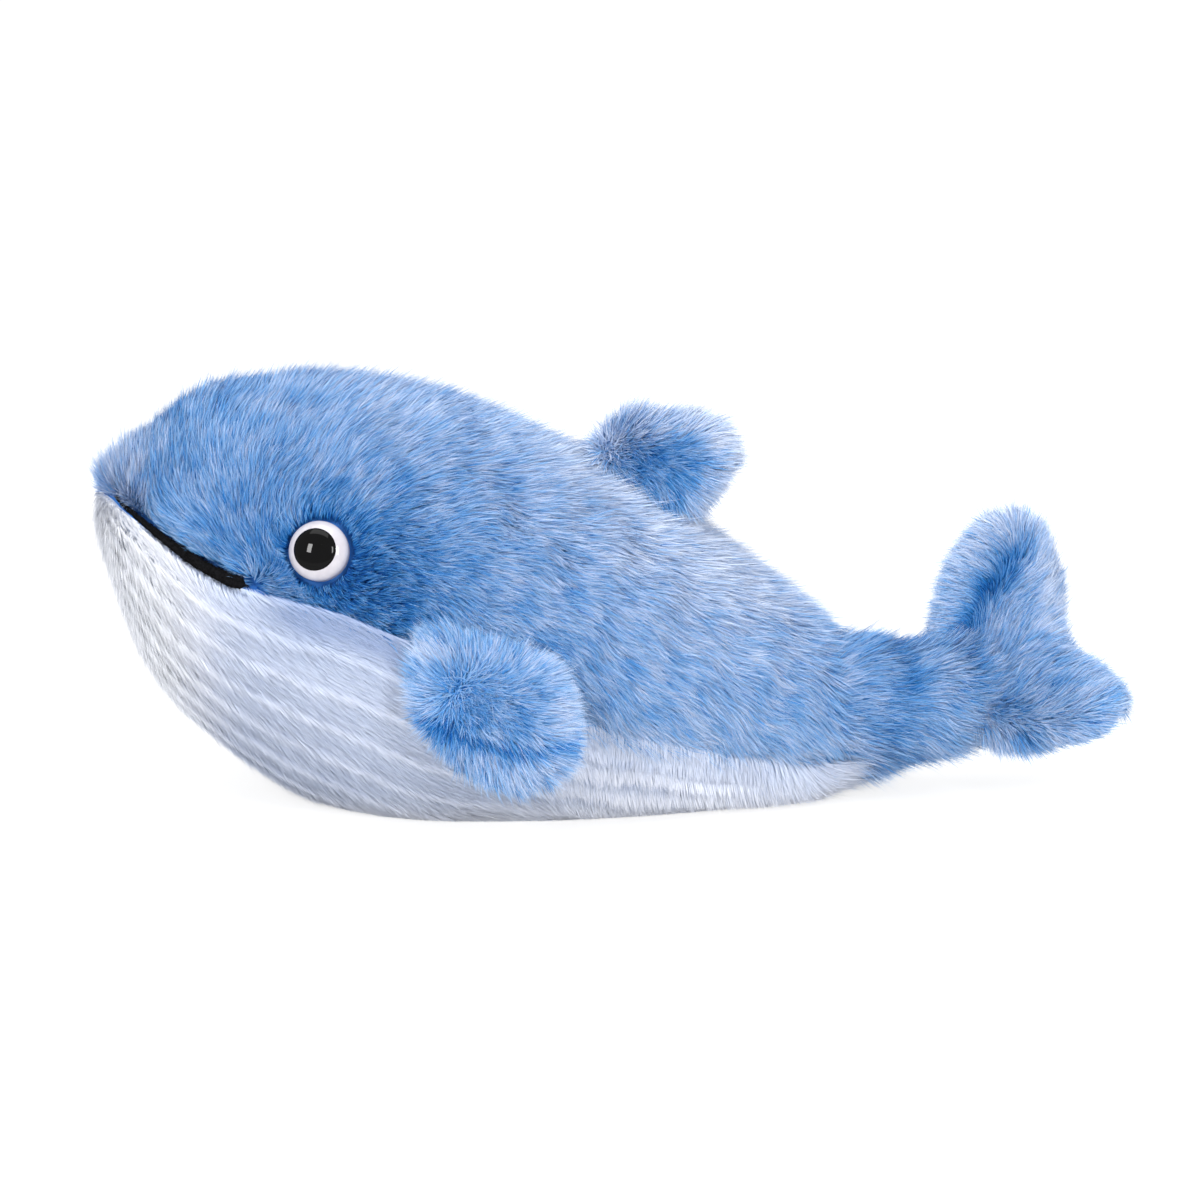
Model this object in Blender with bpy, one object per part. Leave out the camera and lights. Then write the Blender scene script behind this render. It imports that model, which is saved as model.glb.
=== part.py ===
"""A plush whale lying on its belly, nose towards -X, as its sewn fur panels, stuffing, safety eyes and mouth piping.

Metres, +Z up. The origin is the middle of the flat patch that the belly rests on. A fur panel is as thick as
its backing and pile together, so its outer face is where the tips of the pile lie.
"""

import math

import bmesh
import bpy
import numpy as np
from mathutils import Vector

MM = 0.001

# Body
BODY_LENGTH = 217.5 * MM
BODY_HEIGHT = 126.5 * MM
BODY_HALF_WIDTH = 62 * MM
FUR = 8 * MM
BACKING = 1.2 * MM
SEAM_GAP = 0.3 * MM
REST_CENTRE_SHARE = 0.5126
PLEAT_DEPTH = 2.2 * MM
PLEATS = 18
NOSE_HOLE_SHARE = 0.03

# Each row: place along the body, then the back, the widest level and the belly as shares of the height,
# the half width as a share of the greatest, and the side seam's place as a share of the way from back to belly.
# A belly below zero is pressed flat where it meets the ground.
BODY_SHARES = [
    (0.0000, 0.735, 0.735, 0.735, 0.000, 0.430),
    (0.0050, 0.779, 0.727, 0.632, 0.190, 0.410),
    (0.0276, 0.834, 0.680, 0.490, 0.420, 0.400),
    (0.0667, 0.890, 0.632, 0.334, 0.580, 0.425),
    (0.1057, 0.936, 0.609, 0.243, 0.694, 0.455),
    (0.1450, 0.966, 0.585, 0.182, 0.774, 0.470),
    (0.2070, 0.980, 0.551, 0.095, 0.863, 0.474),
    (0.2670, 0.996, 0.522, 0.020, 0.919, 0.473),
    (0.3470, 0.988, 0.490, -0.055, 0.976, 0.478),
    (0.4300, 0.964, 0.466, -0.111, 1.000, 0.503),
    (0.5130, 0.917, 0.443, -0.123, 0.992, 0.521),
    (0.6100, 0.842, 0.407, -0.119, 0.944, 0.550),
    (0.7000, 0.767, 0.360, -0.103, 0.855, 0.582),
    (0.8000, 0.656, 0.308, -0.071, 0.726, 0.598),
    (0.9000, 0.529, 0.253, -0.020, 0.555, 0.626),
    (0.9550, 0.458, 0.232, 0.012, 0.460, 0.664),
    (1.0000, 0.385, 0.217, 0.045, 0.360, 0.700),
]
BODY_ROWS = 17
BACK_COLUMNS = 7
COARSE = 4

# Mouth piping
PIPING_RADIUS = 1.7 * MM
PIPING_SINK = 0.9 * MM
MOUTH_CORNER_SHARE = 0.193
PIPING_POINTS = 23
PIPING_SIDES = 7

# Safety eyes
EYE_RADIUS = 9 * MM
EYE_EDGE = 3 * MM
EYE_DOME = 4 * MM
PUPIL_RADIUS = 6.6 * MM
PUPIL_DEPTH = 1.2 * MM
EYE_STEM_RADIUS = 2 * MM
EYE_STEM_LENGTH = 8 * MM
WASHER_RADIUS = 6.5 * MM
WASHER_THICKNESS = 1.5 * MM
EYE_PLACE_SHARE = 0.293
EYE_ANGLE_SHARE = 0.385
EYE_SEGMENTS = 18

# Flippers
FLIPPER_LENGTH = 50 * MM
FLIPPER_DEPTH = 33 * MM
FLIPPER_HALF_THICKNESS = 10.5 * MM
FLIPPER_FRONT_SHARE = 0.425
FLIPPER_REAR_SHARE = 0.558
FLIPPER_FRONT_ANGLE_SHARE = 0.510
FLIPPER_REAR_ANGLE_SHARE = 0.521
FLIPPER_STAND_OFF = 4.2 * MM
FLIPPER_SPLAY_DEG = 30
FLIPPER_OUTLINE_SHARES = [
    (0.03, 0.02),
    (0.05, 0.36),
    (0.23, 0.68),
    (0.43, 0.88),
    (0.66, 0.93),
    (0.87, 0.85),
    (1.00, 0.64),
    (0.99, 0.32),
    (0.88, 0.06),
    (0.70, -0.05),
    (0.45, -0.07),
    (0.20, -0.05),
]

# Dorsal fin
DORSAL_LENGTH = 43 * MM
DORSAL_HEIGHT = 28 * MM
DORSAL_HALF_THICKNESS = 10.5 * MM
DORSAL_FRONT_SHARE = 0.644
DORSAL_REAR_SHARE = 0.823
DORSAL_OUTLINE_SHARES = [
    (0.05, 0.05),
    (0.10, 0.33),
    (0.27, 0.64),
    (0.46, 0.84),
    (0.63, 0.96),
    (0.79, 0.97),
    (0.90, 0.85),
    (0.94, 0.66),
    (0.96, 0.36),
    (0.92, 0.06),
    (0.70, 0.00),
    (0.36, 0.00),
]
FIN_SEGMENTS = 18

# Tail
NECK_SETBACK = 9 * MM
TAIL_BALL_RADIUS = 19.5 * MM
STALK_LENGTH = 36.5 * MM
STALK_RISE = 6.5 * MM
STALK_END_HALF_WIDTH = 16 * MM
STALK_END_HALF_HEIGHT = 14.5 * MM
FLUKE_HALF_SPAN = 42 * MM
FLUKE_REACH = 36.5 * MM
FLUKE_HALF_CHORD = 17 * MM
FLUKE_HALF_THICKNESS = 12 * MM
FLUKE_CUP = 15 * MM
FLUKE_PITCH_DEG = 30
FLUKE_ROLL_DEG = 48
# Each row: place from the middle to a tip, then the leading and the trailing edge as shares of the reach,
# and the half thickness as a share of the greatest.
FLUKE_SHARES = [
    (0.00, -0.39, 0.75, 1.00),
    (0.17, -0.36, 0.81, 1.00),
    (0.34, -0.30, 0.90, 1.00),
    (0.51, -0.21, 0.97, 0.98),
    (0.67, -0.06, 1.00, 0.92),
    (0.81, 0.14, 1.00, 0.80),
    (0.93, 0.37, 0.92, 0.55),
    (1.00, 0.64, 0.68, 0.02),
]
FLUKE_ROWS = 13
TAIL_SEGMENTS = 14
TAIL_ROWS = 6

CUT_OVERRUN = 4 * MM
FINE_STEP_SHARE = 0.002
WELD_SHARE = 0.1

FUR_BLUE = (0.20, 0.40, 0.75)
FUR_WHITE = (0.72, 0.78, 0.88)
STUFFING_WHITE = (0.90, 0.90, 0.88)
PIPING_BLACK = (0.01, 0.01, 0.012)
PLASTIC_WHITE = (0.85, 0.84, 0.86)
PLASTIC_BLACK = (0.004, 0.004, 0.006)
WASHER_CLEAR = (0.75, 0.77, 0.78)

LEFT, RIGHT = 1, -1
HALF_TURN = math.pi


def smooth(at, knots, values):
    """Values at the given places on a smooth curve through the knots."""
    knots, values = np.asarray(knots, float), np.asarray(values, float)
    slopes = np.gradient(values, knots)
    i = np.clip(np.searchsorted(knots, at, side="right") - 1, 0, len(knots) - 2)
    width = knots[i + 1] - knots[i]
    t = (at - knots[i]) / width
    return (
        values[i] * (2 * t**3 - 3 * t**2 + 1)
        + values[i + 1] * (3 * t**2 - 2 * t**3)
        + slopes[i] * width * (t**3 - 2 * t**2 + t)
        + slopes[i + 1] * width * (t**3 - t**2)
    )


def closed_curve(points, count):
    """Points spaced evenly by number round a smooth closed curve through the given ones."""
    points = np.asarray(points, float)
    turns = 3
    around = np.concatenate([points] * turns + [points[:1]])
    knots = np.arange(len(around)) / len(points) - 1
    at = np.arange(count) / count
    return np.stack([smooth(at, knots, around[:, k]) for k in range(2)], axis=1)


# The nose is blunt because the shape is read against the square root of the place along the body.
STATIONS = np.array(BODY_SHARES)
STATION_REACH = np.sqrt(STATIONS[:, 0])


def body_section(reach):
    """Back, widest level, belly, half width and seam angle where the square of reach is the share of the length."""
    back, middle, belly, width, seam = (
        smooth(reach, STATION_REACH, STATIONS[:, k]) for k in range(1, 6)
    )
    return (
        BODY_HEIGHT * back,
        BODY_HEIGHT * middle,
        BODY_HEIGHT * belly,
        BODY_HALF_WIDTH * width,
        HALF_TURN * seam,
    )


def body_round(reach, angle):
    """A point of the body before it is pressed flat by the ground."""
    reach, angle = np.broadcast_arrays(
        np.asarray(reach, float), np.asarray(angle, float)
    )
    back, middle, belly, width, _ = body_section(reach)
    height = np.where(np.cos(angle) > 0, back - middle, middle - belly)
    x = BODY_LENGTH * (reach**2 - REST_CENTRE_SHARE)
    y = -width * np.sin(angle)
    z = middle + height * np.cos(angle)
    return np.stack([x, y, z], axis=-1)


def pressed(points, lowest):
    """The points with none of them below a level."""
    points = points.copy()
    points[..., 2] = np.maximum(points[..., 2], lowest)
    return points


def body_point(reach, angle):
    """A point of the body's outer face. The angle is 0 on the back, positive down the whale's left side."""
    return pressed(body_round(reach, angle), 0)


def body_normal(reach, angle):
    """The unit normal of the unpressed body, pointing out."""
    reach, angle = np.asarray(reach, float), np.asarray(angle, float)
    step = np.minimum(FINE_STEP_SHARE, reach / 2)
    ahead, behind = np.minimum(reach + step, 1), reach - step
    along = body_round(ahead, angle) - body_round(behind, angle)
    around = body_round(reach, angle + FINE_STEP_SHARE) - body_round(
        reach, angle - FINE_STEP_SHARE
    )
    normal = np.cross(around, along)
    return normal / np.linalg.norm(normal, axis=-1, keepdims=True)


def girth_angle(reach, angle, length):
    """The angle that a short length along the body's girth takes up."""
    around = body_round(reach, angle + FINE_STEP_SHARE) - body_round(
        reach, angle - FINE_STEP_SHARE
    )
    return length * 2 * FINE_STEP_SHARE / np.linalg.norm(around, axis=-1)


def body_inside(reach, angle, depth):
    """The body's face moved inwards. It thins towards the nose, where the panels gather to a point."""
    width = body_section(np.asarray(reach, float))[3]
    depth = depth * np.minimum(1, width / (2 * FUR))
    inner = body_round(reach, angle) - depth[..., None] * body_normal(reach, angle)
    inner[..., 0] = np.minimum(inner[..., 0], BODY_LENGTH * (1 - REST_CENTRE_SHARE))
    return pressed(inner, np.broadcast_to(depth, inner.shape[:-1]))


def body_rows():
    """Reaches of the rows of points, closer together towards the nose."""
    crowding = 0.85
    along = (np.arange(BODY_ROWS) / (BODY_ROWS - 1)) ** crowding
    return NOSE_HOLE_SHARE + (1 - NOSE_HOLE_SHARE) * along


def new_object(name, points, faces, colour, roughness=0.9):
    """A named object with its own material, and its faces pointing out."""
    mesh = bpy.data.meshes.new(name)
    mesh.from_pydata([tuple(p) for p in points], [], [tuple(f) for f in faces])
    form = bmesh.new()
    form.from_mesh(mesh)
    bmesh.ops.recalc_face_normals(form, faces=form.faces)
    form.to_mesh(mesh)
    form.free()
    mesh.shade_smooth()
    mesh.set_sharp_from_angle(angle=math.radians(50))
    piece = bpy.data.objects.new(name, mesh)
    bpy.context.scene.collection.objects.link(piece)
    if colour is not None:
        paint(piece, colour, roughness)
    return piece


def paint(piece, colour, roughness):
    """Gives the piece its own material."""
    material = bpy.data.materials.new(piece.name)
    material.use_nodes = True
    shader = material.node_tree.nodes["Principled BSDF"]
    shader.inputs["Base Color"].default_value = (*colour, 1)
    shader.inputs["Roughness"].default_value = roughness
    shader.inputs["Metallic"].default_value = 0
    piece.data.materials.clear()
    piece.data.materials.append(material)


def helper(piece):
    """Marks an object as a cutter or a form to join, which isn't a part itself."""
    piece.hide_render = True
    piece.display_type = "WIRE"
    return piece


def combine(piece, operation, others):
    """Adds one exact Boolean for each of the other objects."""
    for other in others:
        helper(other)
        boolean = piece.modifiers.new(other.name, "BOOLEAN")
        boolean.operation = operation
        boolean.solver = "EXACT"
        boolean.object = other
    weld = piece.modifiers.new("weld", "WELD")
    weld.merge_threshold = WELD_SHARE * SEAM_GAP
    return piece


def halves(points, a, b, c, d):
    """Two triangles that fill a four-cornered face, split along its shorter diagonal."""
    if np.linalg.norm(points[a] - points[c]) < np.linalg.norm(points[b] - points[d]):
        return [[a, b, c], [a, c, d]]
    return [[a, b, d], [b, c, d]]


def grid_shell(name, outer, inner, colour):
    """A closed solid between two grids of points with the same rows. The inner one may have fewer columns."""
    rows, columns = outer.shape[:2]
    fewer = inner.shape[1]
    every = (columns - 1) // (fewer - 1)
    points = np.concatenate([outer.reshape(-1, 3), inner.reshape(-1, 3)])
    out = np.arange(rows * columns).reshape(rows, columns)
    into = rows * columns + np.arange(rows * fewer).reshape(rows, fewer)
    faces = []
    for i in range(rows - 1):
        for j in range(columns - 1):
            corners = out[i, j], out[i, j + 1], out[i + 1, j + 1], out[i + 1, j]
            faces += halves(points, *corners)
        for j in range(fewer - 1):
            corners = into[i, j], into[i + 1, j], into[i + 1, j + 1], into[i, j + 1]
            faces += halves(points, *corners)
        for j, k in ((0, 0), (columns - 1, fewer - 1)):
            faces.append([out[i, j], out[i + 1, j], into[i + 1, k]])
            faces.append([out[i, j], into[i + 1, k], into[i, k]])
    for i in (0, rows - 1):
        for k in range(fewer - 1):
            first, last = k * every, (k + 1) * every
            turn = first + every // 2
            for j in range(first, turn):
                faces.append([out[i, j], out[i, j + 1], into[i, k]])
            faces.append([out[i, turn], into[i, k + 1], into[i, k]])
            for j in range(turn, last):
                faces.append([out[i, j], out[i, j + 1], into[i, k + 1]])
    return new_object(name, points, faces, colour)


def ring_solid(name, rings, start, end, colour, roughness=0.9):
    """A closed solid skinned over rings of points, closed by a point at each end."""
    size = len(rings[0])
    points = np.concatenate([np.concatenate(rings), [start, end]])
    first, last = len(points) - 2, len(points) - 1
    faces = []
    for i in range(len(rings) - 1):
        for k in range(size):
            after = (k + 1) % size
            here, ahead = i * size, (i + 1) * size
            faces += halves(points, here + k, here + after, ahead + after, ahead + k)
    base = (len(rings) - 1) * size
    for k in range(size):
        after = (k + 1) % size
        faces.append([first, after, k])
        faces.append([last, base + k, base + after])
    return new_object(name, points, faces, colour, roughness)


def turned(name, profile, centre, axis, segments, colour, roughness=0.9):
    """A solid turned round an axis. The profile runs from the axis to the axis as (radius, height) pairs."""
    axis = np.asarray(axis, float)
    side = np.array(Vector(axis).orthogonal().normalized())
    up = np.cross(axis, side)
    angles = 2 * HALF_TURN * np.arange(segments) / segments
    spokes = np.cos(angles)[:, None] * side + np.sin(angles)[:, None] * up
    rings = [centre + radius * spokes + height * axis for radius, height in profile[1:-1]]
    start, end = centre + profile[0][1] * axis, centre + profile[-1][1] * axis
    return ring_solid(name, rings, start, end, colour, roughness)


def turned_ring(name, profile, centre, axis, segments, colour, roughness=0.9):
    """A ring turned round an axis. The profile is a closed outline of (radius, height) pairs off the axis."""
    axis = np.asarray(axis, float)
    side = np.array(Vector(axis).orthogonal().normalized())
    up = np.cross(axis, side)
    angles = 2 * HALF_TURN * np.arange(segments) / segments
    spokes = np.cos(angles)[:, None] * side + np.sin(angles)[:, None] * up
    rings = [centre + radius * spokes + height * axis for radius, height in profile]
    faces = []
    for i in range(len(profile)):
        j = (i + 1) % len(profile)
        for k in range(segments):
            after = (k + 1) % segments
            faces.append(
                [
                    i * segments + k,
                    i * segments + after,
                    j * segments + after,
                    j * segments + k,
                ]
            )
    return new_object(name, np.concatenate(rings), faces, colour, roughness)


def cylinder(name, centre, axis, radius, low, high):
    """A plain cutter between two heights on its axis."""
    profile = [(0, low), (radius, low), (radius, high), (0, high)]
    return turned(name, profile, centre, axis, EYE_SEGMENTS, None)


# Places that more than one piece shares


def tail_pivot():
    """The middle of the seam between the body and the tail, which the tail bends about."""
    middle = float(body_section(np.array(1.0))[1])
    return np.array([BODY_LENGTH * (1 - REST_CENTRE_SHARE) + NECK_SETBACK, 0, middle])


def fluke_frame():
    """The flukes' middle, the way they point, the way they spread and the way their upper face looks."""
    pitch, roll = math.radians(FLUKE_PITCH_DEG), math.radians(FLUKE_ROLL_DEG)
    ahead = np.array([math.cos(pitch), 0, math.sin(pitch)])
    level = np.array([0, 1, 0])
    lifted = np.cross(ahead, level)
    spread = level * math.cos(roll) + lifted * math.sin(roll)
    centre = tail_pivot() + np.array([STALK_LENGTH, 0, STALK_RISE])
    return centre, ahead, spread, np.cross(ahead, spread)


def eye_seat(side):
    """The point of the body's outer face in the middle of an eye, and the way the eye looks."""
    reach, angle = math.sqrt(EYE_PLACE_SHARE), side * HALF_TURN * EYE_ANGLE_SHARE
    return body_point(reach, angle), body_normal(reach, angle)


def flipper_frame(side):
    """The front end of a flipper's sewn root, the way along it, the way down the flipper and out of its face."""
    ends = []
    for share, turn in (
        (FLIPPER_FRONT_SHARE, FLIPPER_FRONT_ANGLE_SHARE),
        (FLIPPER_REAR_SHARE, FLIPPER_REAR_ANGLE_SHARE),
    ):
        reach, angle = math.sqrt(share), side * HALF_TURN * turn
        ends.append(
            body_point(reach, angle) + FLIPPER_STAND_OFF * body_normal(reach, angle)
        )
    along = (ends[1] - ends[0]) / np.linalg.norm(ends[1] - ends[0])
    out = body_normal(reach, angle)
    out = out - along * (out @ along)
    out = out / np.linalg.norm(out)
    down = np.cross(along, out)
    down = down if down[2] < 0 else -down
    splay = math.radians(FLIPPER_SPLAY_DEG)
    hanging = down * math.cos(splay) + out * math.sin(splay)
    face = out * math.cos(splay) - down * math.sin(splay)
    return ends[0], along, hanging, face


def dorsal_frame():
    """The front end of the dorsal fin's pivot line, the way along it, the way up the fin and out of its left face."""
    front, rear = (
        body_point(math.sqrt(share), 0.0)
        for share in (DORSAL_FRONT_SHARE, DORSAL_REAR_SHARE)
    )
    along = (rear - front) / np.linalg.norm(rear - front)
    up = np.cross(along, np.array([0, 1, 0]))
    up = up if up[2] > 0 else -up
    between = np.linspace(math.sqrt(DORSAL_FRONT_SHARE), math.sqrt(DORSAL_REAR_SHARE))
    crown = max((body_point(between, 0.0) - front) @ up)
    seat = front + up * (crown + SEAM_GAP)
    return seat, along, up, np.array([0, -1, 0])


# Body


def back_panel(side):
    """One of the two blue panels from the back's middle seam down to the side seam."""
    reach = body_rows()
    seam = body_section(reach)[4]
    first = girth_angle(reach, np.zeros_like(reach), SEAM_GAP / 2)
    last = seam - girth_angle(reach, seam, SEAM_GAP / 2)
    share = np.arange(BACK_COLUMNS) / (BACK_COLUMNS - 1)
    angle = side * (first[:, None] + (last - first)[:, None] * share)
    outer = body_point(reach[:, None], angle)
    inner = body_inside(reach[:, None], angle, FUR)
    name = "back_left_panel" if side == LEFT else "back_right_panel"
    return grid_shell(name, outer, inner, FUR_BLUE)


def belly_panel():
    """The white panel under the side seams, with its sewn pleats running from the chin to the tail."""
    reach = body_rows()
    seam = body_section(reach)[4]
    first = seam + girth_angle(reach, seam, SEAM_GAP / 2)
    share = np.arange(2 * PLEATS + 1) / (2 * PLEATS)
    angle = first[:, None] + 2 * (HALF_TURN - first)[:, None] * share
    plain = body_round(reach[:, None], angle)
    valley = 1 - np.abs(np.sin(HALF_TURN * PLEATS * share))
    valley[[0, -1]] = 0
    width = body_section(reach)[3]
    clear = np.clip(plain[..., 2] / FUR, 0, 1)
    depth = PLEAT_DEPTH * valley * clear * np.clip(width / BODY_HALF_WIDTH, 0, 1)[:, None]
    outer = plain - depth[..., None] * body_normal(reach[:, None], angle)
    outer[..., 0] = plain[..., 0]
    inner = body_inside(reach[:, None], angle[:, ::COARSE], FUR)
    return grid_shell("belly_panel", pressed(outer, 0), inner, FUR_WHITE)


def body_filling(groove):
    """The fibre stuffing that the three body panels hold."""
    reach = body_rows()
    seam = body_section(reach)[4][:, None]
    back = np.arange(BACK_COLUMNS) / (BACK_COLUMNS - 1)
    columns = 2 * PLEATS // COARSE
    belly = np.arange(1, columns) / columns
    angle = np.concatenate(
        [seam * back, seam + 2 * (HALF_TURN - seam) * belly, -seam * back[:0:-1]], axis=1
    )
    rings = body_inside(reach[:, None], angle, FUR + SEAM_GAP)
    start = rings[0].mean(axis=0)
    end = rings[-1].mean(axis=0)
    filling = ring_solid("body_filling", list(rings), start, end, STUFFING_WHITE)
    pockets = [washer_pocket(side) for side in (LEFT, RIGHT)]
    return combine(filling, "DIFFERENCE", [*pockets, groove, tail_socket("filling_socket")])


def tail_socket(name):
    """The hollow in the body's end that the tail's rounded root turns in."""
    radius = TAIL_BALL_RADIUS + SEAM_GAP
    turns = np.linspace(0, HALF_TURN, TAIL_SEGMENTS)
    profile = [(radius * math.sin(t), radius * math.cos(t)) for t in turns]
    return turned(name, profile, tail_pivot(), (0, 1, 0), 2 * TAIL_SEGMENTS, None)


def piping_path(sink):
    """Points along the side seam from one mouth corner round the nose to the other."""
    reach = math.sqrt(MOUTH_CORNER_SHARE) * np.linspace(1, -1, PIPING_POINTS)
    apart = np.maximum(np.abs(reach), NOSE_HOLE_SHARE)
    angle = np.sign(reach + NOSE_HOLE_SHARE / 2) * body_section(apart)[4]
    path = body_point(apart, angle) - sink * body_normal(apart, angle)
    middle = PIPING_POINTS // 2
    path[middle] = (path[middle - 1] + path[middle + 1]) / 2
    nose = body_point(NOSE_HOLE_SHARE, 0.0)
    path[middle, 0] = nose[0] + sink
    return path


def piping_tube(name, radius, colour, overrun=0):
    """A round cord along the mouth, which may run on a little past its ends."""
    path = piping_path(PIPING_SINK)
    ahead = np.gradient(path, axis=0)
    ahead = ahead / np.linalg.norm(ahead, axis=1, keepdims=True)
    path[0] -= overrun * ahead[0]
    path[-1] += overrun * ahead[-1]
    level = np.cross(ahead, np.array([0, 0, 1]))
    level = level / np.linalg.norm(level, axis=1, keepdims=True)
    up = np.cross(level, ahead)
    angles = 2 * HALF_TURN * np.arange(PIPING_SIDES) / PIPING_SIDES
    rings = [
        path[i] + radius * (np.outer(np.cos(angles), level[i]) + np.outer(np.sin(angles), up[i]))
        for i in range(PIPING_POINTS)
    ]
    return ring_solid(name, rings, path[0], path[-1], colour)


def cheek_bow(radius):
    """How far the body curves away under the edge of a flat disc of this radius, with some to spare."""
    tightest = (BODY_HEIGHT / 2) ** 2 / BODY_HALF_WIDTH
    return radius**2 / min(tightest, BODY_HALF_WIDTH)


def washer_depth():
    """How far inside the outer face a flat washer lies, behind the panel's curved inner face."""
    return FUR + cheek_bow(WASHER_RADIUS) + SEAM_GAP


def eye_back():
    """How far inside the outer face the back of an eye's disc lies, resting on the backing."""
    return FUR - BACKING - cheek_bow(EYE_RADIUS) - SEAM_GAP


def eye_pocket(side):
    """The hole through the pile in which an eye sits."""
    seat, look = eye_seat(side)
    bottom = -eye_back() - SEAM_GAP
    return cylinder(
        "eye_pocket", seat, look, EYE_RADIUS + SEAM_GAP, bottom, CUT_OVERRUN
    )


def stem_hole(side):
    """The hole through the backing for an eye's stem."""
    seat, look = eye_seat(side)
    return cylinder(
        "stem_hole",
        seat,
        look,
        EYE_STEM_RADIUS + SEAM_GAP,
        -FUR - CUT_OVERRUN,
        CUT_OVERRUN,
    )


def washer_pocket(side):
    """The room in the stuffing for an eye's washer and stem."""
    seat, look = eye_seat(side)
    depth = max(eye_back() + EYE_STEM_LENGTH, washer_depth() + WASHER_THICKNESS)
    return cylinder(
        "washer_pocket",
        seat,
        look,
        WASHER_RADIUS + SEAM_GAP,
        -depth - SEAM_GAP,
        CUT_OVERRUN,
    )


def eye(side):
    """A safety eye: a white disc with a domed front and a stem, a black pupil set in it and a washer behind."""
    seat, look = eye_seat(side)
    label = "eye_left" if side == LEFT else "eye_right"
    back = -eye_back()
    edge = back + EYE_EDGE
    steps = 5
    rise = np.arange(1, steps) / steps
    dome = [
        (EYE_RADIUS * math.cos(t * HALF_TURN / 2), edge + EYE_DOME * math.sin(t * HALF_TURN / 2))
        for t in rise
    ]
    rim_height = edge + EYE_DOME * math.sqrt(1 - (PUPIL_RADIUS / EYE_RADIUS) ** 2)
    shoulder = [point for point in dome if point[0] > PUPIL_RADIUS + SEAM_GAP]
    floor = rim_height - PUPIL_DEPTH
    white = [
        (0, back - EYE_STEM_LENGTH),
        (EYE_STEM_RADIUS, back - EYE_STEM_LENGTH),
        (EYE_STEM_RADIUS, back),
        (EYE_RADIUS, back),
        (EYE_RADIUS, edge),
        *shoulder,
        (PUPIL_RADIUS, rim_height),
        (PUPIL_RADIUS, floor),
        (0, floor),
    ]
    turned(f"{label}_white", white, seat, look, EYE_SEGMENTS, PLASTIC_WHITE, 0.15)
    inset = PUPIL_RADIUS - SEAM_GAP / 2
    crown = edge + EYE_DOME
    cap = [
        (inset * math.sin(t * HALF_TURN / 2), rim_height + (crown - rim_height) * math.cos(t * HALF_TURN / 2))
        for t in rise[::-1]
    ]
    pupil = [
        (0, floor + SEAM_GAP / 2),
        (inset, floor + SEAM_GAP / 2),
        (inset, rim_height),
        *cap,
        (0, crown),
    ]
    turned(f"{label}_pupil", pupil, seat, look, EYE_SEGMENTS, PLASTIC_BLACK, 0.08)
    washer(f"{label}_washer", seat, look)


def washer(name, seat, look):
    """The ring pressed onto an eye's stem behind the backing."""
    near, far = -washer_depth(), -washer_depth() - WASHER_THICKNESS
    bore = EYE_STEM_RADIUS + SEAM_GAP / 2
    outline = [(bore, far), (WASHER_RADIUS, far), (WASHER_RADIUS, near), (bore, near)]
    turned_ring(name, outline, seat, look, EYE_SEGMENTS, WASHER_CLEAR, 0.4)


# Fins


def swell(share):
    """How a sewn pad's thickness falls from 1 in the middle to 0 at its edge."""
    return np.sqrt(np.maximum(1 - share**2.4, 0))


def lens(share):
    """How the flatter face of a pad that lies against the body falls to its edge."""
    return 1 - share**2


def pad_ring(frame, middle, outline, share, inset, height):
    """One ring of a pad: the outline drawn in by a length, shrunk by a share, at a height over the pad's plane."""
    origin, along, down, face = frame
    spokes = outline - middle
    reach = np.linalg.norm(spokes, axis=1, keepdims=True)
    flat = middle + share * spokes * (1 - inset / reach)
    return origin + flat[:, :1] * along + flat[:, 1:] * down + height * face


def pad_panel(name, frame, outline, side, half_thickness, fall=swell):
    """One of a fin's two fur panels, domed outside and hollow inside."""
    middle = outline.mean(axis=0)
    gap, room = SEAM_GAP / 2, half_thickness - FUR
    outer_shares = (0.3, 0.55, 0.78, 0.93, 1.0)
    inner_shares = (1.0, 0.7, 0.35)
    rings = [
        pad_ring(frame, middle, outline, s, 0, side * (gap + (half_thickness - gap) * fall(s)))
        for s in outer_shares
    ]
    rings += [
        pad_ring(frame, middle, outline, s, FUR, side * (gap + (room - gap) * fall(s)))
        for s in inner_shares
    ]
    centre = pad_ring(frame, middle, outline[:1], 0, 0, 0)[0]
    face = frame[3]
    start, end = centre + side * half_thickness * face, centre + side * room * face
    return ring_solid(name, rings, start, end, FUR_BLUE)


def pad_filling(name, frame, outline, half_thickness, fall=swell):
    """The thin pad of stuffing between a fin's panels."""
    middle = outline.mean(axis=0)
    room = half_thickness - FUR - SEAM_GAP
    shares = (0.4, 0.75, 1.0, 0.75, 0.4)
    sides = (1, 1, 0, -1, -1)
    rings = [
        pad_ring(frame, middle, outline, s, FUR + SEAM_GAP, side * room * fall(s))
        for s, side in zip(shares, sides)
    ]
    centre = pad_ring(frame, middle, outline[:1], 0, 0, 0)[0]
    face = frame[3]
    start, end = centre + room * face, centre - room * face
    return ring_solid(name, rings, start, end, STUFFING_WHITE)


def flipper(side):
    """A flipper: two panels sewn round a thin pad, hanging from the side seam."""
    label = "flipper_left" if side == LEFT else "flipper_right"
    frame = flipper_frame(side)
    sizes = np.array([FLIPPER_LENGTH, FLIPPER_DEPTH])
    outline = closed_curve(np.array(FLIPPER_OUTLINE_SHARES) * sizes, FIN_SEGMENTS)
    pad_panel(f"{label}_outer_panel", frame, outline, 1, FLIPPER_HALF_THICKNESS)
    pad_panel(f"{label}_inner_panel", frame, outline, -1, FLIPPER_HALF_THICKNESS, lens)
    pad_filling(f"{label}_filling", frame, outline, FLIPPER_HALF_THICKNESS, lens)


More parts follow.
